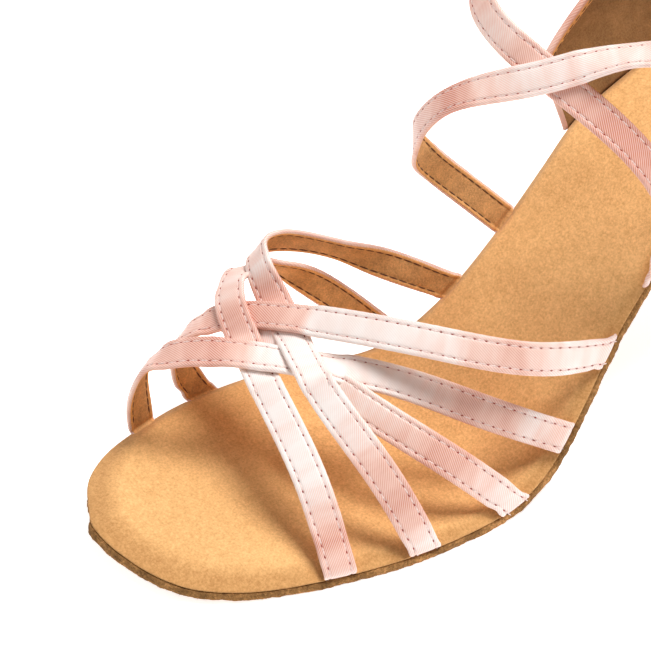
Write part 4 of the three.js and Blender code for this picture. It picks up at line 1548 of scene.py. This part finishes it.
class SHOE_OT_insole(Operator):
    """Insole in tan suede with a wrapped, rounded edge, let in under the strap feet"""
    bl_idname = "shoe.insole"
    bl_label = "Insole"

    def execute(self, context):
        deep = sizes().insole_round * 1000
        wide = sizes().insole_shoulder * 1000
        feet = [foot for strap in build_straps().values() for foot in strap.feet]
        lip = under_depth() - strap_half() * PARED - 0.15

        def pressed(place, side, slip):
            """1 where a strap lies on the insole's edge, 0 away from it."""
            spot = OUTLINE.share_at(side, place[1]) * OUTLINE.lengths[side][-1]
            value = 0.0
            for k, at, half, slide in feet:
                if k == side:
                    value = max(value, 1 - smooth((abs(spot - at - slide * slip) - half + 1.7) / 1.2))
            return value

        def dent(place, side, amount, slip=0.0):
            return -amount * pressed(place, side, slip)

        def shoulder(place):
            """Broad round the toe, narrower along the sides."""
            return wide * (0.42 + 0.58 * smooth(-place[2].y * 1.6))

        rim = [
            (lambda p, k: -0.7 + dent(p, k, 5.8, 1.6), lambda p, k: INSOLE_THICK),
            (lambda p, k: -0.2 + dent(p, k, 6.2, 1.6), lambda p, k: INSOLE_THICK - 0.15),
            (lambda p, k: dent(p, k, 6.3, 1.4), lambda p, k: INSOLE_THICK - 0.35),
            (lambda p, k: dent(p, k, 1.5, 0.8), lambda p, k: max(lip, deep + 0.05)),
        ]
        for share in (1, 0.95, 0.85, 0.7, 0.55, 0.4, 0.26, 0.12, 0):
            rim.append((lambda p, k, q=share: shoulder(p) * (q - 1) + dent(p, k, 0.5) * q ** 2,
                        lambda p, k, q=share: deep * q ** 1.45))

        def top(s, x, f):
            """The footbed's hollow with its soft troughs, fading out at both edges."""
            wave = noise.noise(Vector((s * 0.05, x * 0.06, 1.5))) * 0.2
            cup = 0.15 * math.sin(f * math.pi)
            for at, side, along, across, turn, deep in TROUGHS:
                u = math.cos(turn) * (s - at) + math.sin(turn) * (x - side)
                v = math.cos(turn) * (x - side) - math.sin(turn) * (s - at)
                wave += deep * math.exp(-(u / along) ** 2 - (v / across) ** 2)
            return (wave + cup) * min(1.0, 6 * f, 6 * (1 - f))

        rings, walks, across = plate(dense_shares(430), rim, 40, 6, top, lambda s, x, f: INSOLE_THICK)
        part = skin(rings, across, walks, [0] * len(rings[0]))
        made = piece("insole_suede", part, [insole_suede()])
        fit(made, "insole_suede", "insole")
        return {"FINISHED"}


class SHOE_OT_outsole(Operator):
    """Outsole of raw suede, its cut edge uneven and fuzzy"""
    bl_idname = "shoe.outsole"
    bl_label = "Outsole"

    def execute(self, context):
        top = INSOLE_THICK - 0.05
        deep = SOLE_THICK + GAP + 0.05

        def proud(place):
            """How far the sole stands out from the insole, most in front, least at the waist."""
            side = place[2].x
            forward = SOLE_PROUD * (smooth((side + 0.7) / 0.65) * 1.5 - 0.7 - 0.35 * smooth(side))
            return forward + (WAIST_PROUD - forward) * smooth((place[1] - FLAT_LENGTH) / BEND_LENGTH)

        def rough(place, level):
            """The uneven cut of the edge."""
            p = Vector((place[0], place[1], level * 1.7))
            return (noise.noise(p * 0.14) * 0.35 + noise.noise(p * 0.6) * 0.3
                    + noise.noise(p * 2.2) * 0.14)

        levels = ((1.00, -0.35), (0.88, -0.05), (0.6, 0.05), (0.35, 0.0), (0.12, -0.08), (0.0, -0.3))
        rim = []
        for share, out in levels:
            rim.append((lambda p, k, out=out, share=share: proud(p) + out + rough(p, share * 3 + k),
                        lambda p, k, share=share: top + (deep - 0.15 * abs(
                            noise.noise(Vector((p[0] * 0.3, p[1] * 0.3, 5.0))))) * share))
        shares = dense_shares(520, SOLE_END)
        rings, walks, across = plate(shares, rim, 8, 8, lambda s, x, f: top,
                                     lambda s, x, f: top + deep - 0.05)
        part = skin(rings, across, walks, [0] * len(rings[0]))
        cap(part, len(rings) - 1, len(rings[0]), 0)
        made = piece("outsole_suede", part, [raw_suede()])
        fit(made, "sole_suede", "outsole")
        self.fuzz(shares, rim, yarn("suede_fibres", tuple(v * 2.0 for v in colours().sole), 0.9))
        return {"FINISHED"}

    @staticmethod
    def fuzz(shares, rim, look):
        """Fibres on the cut edge, grown by nodes on a band round it."""
        size = sizes()
        parts = []
        for side in (-1, 1):
            rows = []
            for pair in shares[::2]:
                place = OUTLINE.share(side, pair[0 if side < 0 else 1])
                rows.append([rim_point(place, r[0](place, side), r[1](place, side)) for r in rim])
            if side > 0:
                rows = rows[::-1]
            parts.append(skin(rows, list(range(len(rim) + 1)), list(range(len(rows))),
                              [0] * len(rim), closed=False))
        part = merged(parts)
        guide = bpy.data.meshes.new("outsole_edge")
        guide.from_pydata(part["verts"], [], [tuple(reversed(f)) for f in part["faces"]])
        guide.update()
        made = fibre_tree().baked("outsole_fuzz", guide, {
            "Length": size.fibre_length, "Width": FIBRE_WIDTH, "Density": FIBRE_DENSITY,
            "Seed": size.fibre_seed, "Finish": look})
        for vert in made.data.vertices:
            vert.co.z = max(vert.co.z, 0.0001)
        fit(made, "sole_suede")


def make_straps(prefix, specs):
    """One piece of joined straps, with its sewn rows."""
    straps = build_straps()
    chosen = [straps[spec["name"]] for spec in specs]
    part = merged([band(strap) for strap in chosen])
    made = piece(f"{prefix}_satin", part, [satin(), lining_margin_lit(), lining_cloth()])
    fit(made, "satin", f"{prefix}_straps")
    sew(prefix, chosen)


class SHOE_OT_vamp_straps(Operator):
    """Five satin straps over the toes, crossing each other"""
    bl_idname = "shoe.vamp_straps"
    bl_label = "Toe straps"

    def execute(self, context):
        make_straps("vamp", VAMP_STRAPS)
        return {"FINISHED"}


class SHOE_OT_instep_straps(Operator):
    """Two satin straps from the arch over the instep to the counter"""
    bl_idname = "shoe.instep_straps"
    bl_label = "Instep straps"

    def execute(self, context):
        make_straps("instep", INSTEP_STRAPS)
        return {"FINISHED"}


def counter_walk(count):
    """Places of the outline from the counter's inner front round to its outer front."""
    first = {k: OUTLINE.share_at(k, COUNTER_FRONT) for k in (-1, 1)}
    inner = [OUTLINE.share(-1, first[-1] + (1 - first[-1]) * i / count) for i in range(count + 1)]
    outer = [OUTLINE.share(1, first[1] + (1 - first[1]) * i / count) for i in range(count)]
    return inner + outer[::-1]


class SHOE_OT_counter(Operator):
    """Counter round the heel, satin outside and lining inside, with a rolled edge"""
    bl_idname = "shoe.counter"
    bl_label = "Counter"

    def execute(self, context):
        walk = counter_walk(150)
        levels = [i / 26 for i in range(27)]
        middle = COUNTER_WALL / 2
        rings = []
        for index, place in enumerate(walk):
            rest = min(index, len(walk) - 1 - index) / 3.0
            thin = math.sqrt(max(1 - (1 - min(rest, 1.0)) ** 2, 0.03))
            half = middle * thin
            outer = [counter_face(place, v, middle + half) for v in levels]
            inner = [counter_face(place, v, middle - half) for v in levels]
            crest = counter_face(place, 1.0, middle)
            side = (outer[-1] - inner[-1]) / 2
            rise = Vector((0, 0, side.length))
            roll = [crest + side * math.cos(a) + rise * math.sin(a)
                    for a in (math.radians(30 * k) for k in range(1, 6))]
            rings.append(outer + roll + list(reversed(inner)))
        walks = walked([Vector(place[:2]) for place in walk])
        # Painted light: a slow wave between pale painted highlight and salmon painted shade round the
        # counter
        painted_lights = [0.5 + 0.25 * math.sin(distance * 0.09) for distance in walks]
        size = len(rings[0])
        across = walked(rings[80] + rings[80][:1])
        looks = [0] * (len(levels) + 6) + [1] * 2 + [2] * (len(levels) - 3) + [2]
        part = skin(rings, across, walks, looks[:size], painted_lights=painted_lights)
        rim = 2 * size
        part["looks"][:rim] = [0] * rim
        part["looks"][-rim:] = [0] * rim
        close_ends(part, rings)
        # Inside the counter the lining is darkened to half as painted shade
        made = piece("counter_satin", part, [satin(), lining_margin_lit(), lining_cloth("lining_painted_shade", 0.5)])
        fit(made, "satin", "counter")
        self.seams(walk)
        return {"FINISHED"}

    @staticmethod
    def seams(walk):
        """A sewn row under the rolled top edge, outside and inside."""
        size = sizes()
        c = colours()
        tree = stitch_tree()
        # The inner row is dark brown as painted shadow in its stitched groove
        for label, out, sign, look in (
                ("counter_thread", COUNTER_WALL + 0.02, 1, yarn("thread_pink", tuple(c.thread), 0.5)),
                ("counter_seam", -0.02, -1, yarn("thread_shadow_brown", tuple(c.seam), 0.8))):
            verts, faces = [], []
            for place in walk[4:-4]:
                level = 1 - SEAM_DROP / counter_height(counter_share(place))
                verts.append(counter_face(place, level, out) * 0.001)
                n = place[2]
                faces += [n.x * sign, n.y * sign, 0.0]
            mesh = bpy.data.meshes.new(label + "_row")
            mesh.from_pydata(verts, [(i, i + 1) for i in range(len(verts) - 1)], [])
            mesh.attributes.new("face", "FLOAT_VECTOR", "POINT").data.foreach_set("vector", faces)
            made = tree.baked(label, mesh, {
                "Pitch": size.stitch_pitch, "Length": size.stitch_pitch * 0.74,
                "Width": size.thread_width, "Height": size.thread_width * 0.8,
                "Shift": 0.0, "Finish": look})
            fit(made, "satin")


HEEL_TABLE = [column(HEEL, k) for k in (1, 2, 3, 4)]


def heel_loop(level):
    """The heel's cut at a level: across and along, from the breast round the back."""
    front, back, width, seat = (table(level) for table in HEEL_TABLE)
    front, back, width = front * TIP_LENGTH, back * TIP_LENGTH, width * TIP_WIDTH
    sides = []
    for side in (-1, 1):
        first = OUTLINE.share_at(side, BREAST_STATION)
        points = []
        for i in range(41):
            f = i / 40
            a = math.pi * f
            c = -math.cos(a)
            if c < 0:
                x = side * width / 2 * min(1, 0.72 + 0.3 * (1 + c))
            else:
                x = side * width / 2 * max(math.sin(a), 0) ** 0.7
            y = c * front if c < 0 else c * back
            top = rim_point(OUTLINE.share(side, first + (1 - first) * f),
                            GAP + COUNTER_WALL, INSOLE_THICK + GAP)
            z = TIP_THICK + GAP + (top.z - TIP_THICK - GAP) * level
            points.append(Vector((x + (top.x - x) * seat, y + (top.y - y) * seat, z)))
        sides.append(points)
    inner, outer = sides
    breast = [outer[0].lerp(inner[0], k / 16) for k in range(1, 16)]
    loop = inner + outer[-2::-1] + breast
    for _ in range(3):
        loop = [(loop[i - 1] + loop[i] * 2 + loop[(i + 1) % len(loop)]) / 4 for i in range(len(loop))]
    return loop


class SHOE_OT_heel(Operator):
    """Flared heel, covered in satin"""
    bl_idname = "shoe.heel"
    bl_label = "Heel"

    def execute(self, context):
        levels = [i / 60 for i in range(61)]
        rings = [heel_loop(v) for v in levels]
        across = walked(rings[50] + rings[50][:1])
        walks = [ring[0].z for ring in rings]
        # Painted light: a level part way to the salmon painted shade so the heel does not wash out white,
        # with a slow wave of painted sheen up its height
        painted_lights = [0.55 + 0.12 * math.sin(v * 5.0) for v in levels]
        part = skin(rings, across, walks, [0] * len(rings[0]), painted_lights=painted_lights)
        close_ends(part, rings)
        made = piece("heel_satin", part, [satin()])
        fit(made, "satin", "heel")
        return {"FINISHED"}


class SHOE_OT_heel_tip(Operator):
    """Hard heel tip with softened edges"""
    bl_idname = "shoe.heel_tip"
    bl_label = "Heel tip"

    def execute(self, context):
        flats = [Vector((p.x, p.y, 0)) for p in heel_loop(0.0)]
        rings = [[flat * (1 - inset / flat.length) + Vector((0, 0, z)) for flat in flats]
                 for z, inset in TIP_RINGS]
        size = len(flats)
        part = skin(rings, list(range(size + 1)), list(range(len(rings))), [0] * size)
        close_ends(part, rings)
        made = piece("heel_tip_plastic", part, [tip_plastic()])
        fit(made, "tip_plastic", "heel_tip")
        return {"FINISHED"}


OPERATORS = (SHOE_OT_stage, SHOE_OT_outsole, SHOE_OT_insole, SHOE_OT_heel, SHOE_OT_heel_tip,
             SHOE_OT_counter, SHOE_OT_vamp_straps, SHOE_OT_instep_straps)
GROUPS = (("shoe_sizes", ShoeSizes), ("shoe_colours", ShoeColours), ("shoe_studio", StudioSizes))


class SHOE_PT_panel(Panel):
    """Sizes, colours and pieces of the dance shoe"""
    bl_label = "Dance Shoe"
    bl_idname = "SHOE_PT_panel"
    bl_space_type = "VIEW_3D"
    bl_region_type = "UI"
    bl_category = "Dance Shoe"

    def draw(self, context):
        layout = self.layout
        for name, group in GROUPS:
            box = layout.box()
            for key in group.__annotations__:
                box.prop(getattr(context.scene, name), key)
        for operator in OPERATORS:
            layout.operator(operator.bl_idname)


def register():
    for name, group in GROUPS:
        bpy.utils.register_class(group)
        setattr(bpy.types.Scene, name, PointerProperty(type=group))
    for operator in OPERATORS:
        bpy.utils.register_class(operator)
    bpy.utils.register_class(SHOE_PT_panel)


def unregister():
    bpy.utils.unregister_class(SHOE_PT_panel)
    for operator in reversed(OPERATORS):
        bpy.utils.unregister_class(operator)
    for name, group in reversed(GROUPS):
        delattr(bpy.types.Scene, name)
        bpy.utils.unregister_class(group)


def main():
    register()
    bpy.ops.shoe.stage()
    bpy.ops.shoe.outsole()
    bpy.ops.shoe.insole()
    bpy.ops.shoe.heel()
    bpy.ops.shoe.heel_tip()
    bpy.ops.shoe.counter()
    bpy.ops.shoe.vamp_straps()
    bpy.ops.shoe.instep_straps()


if __name__ == "__main__":
    main()
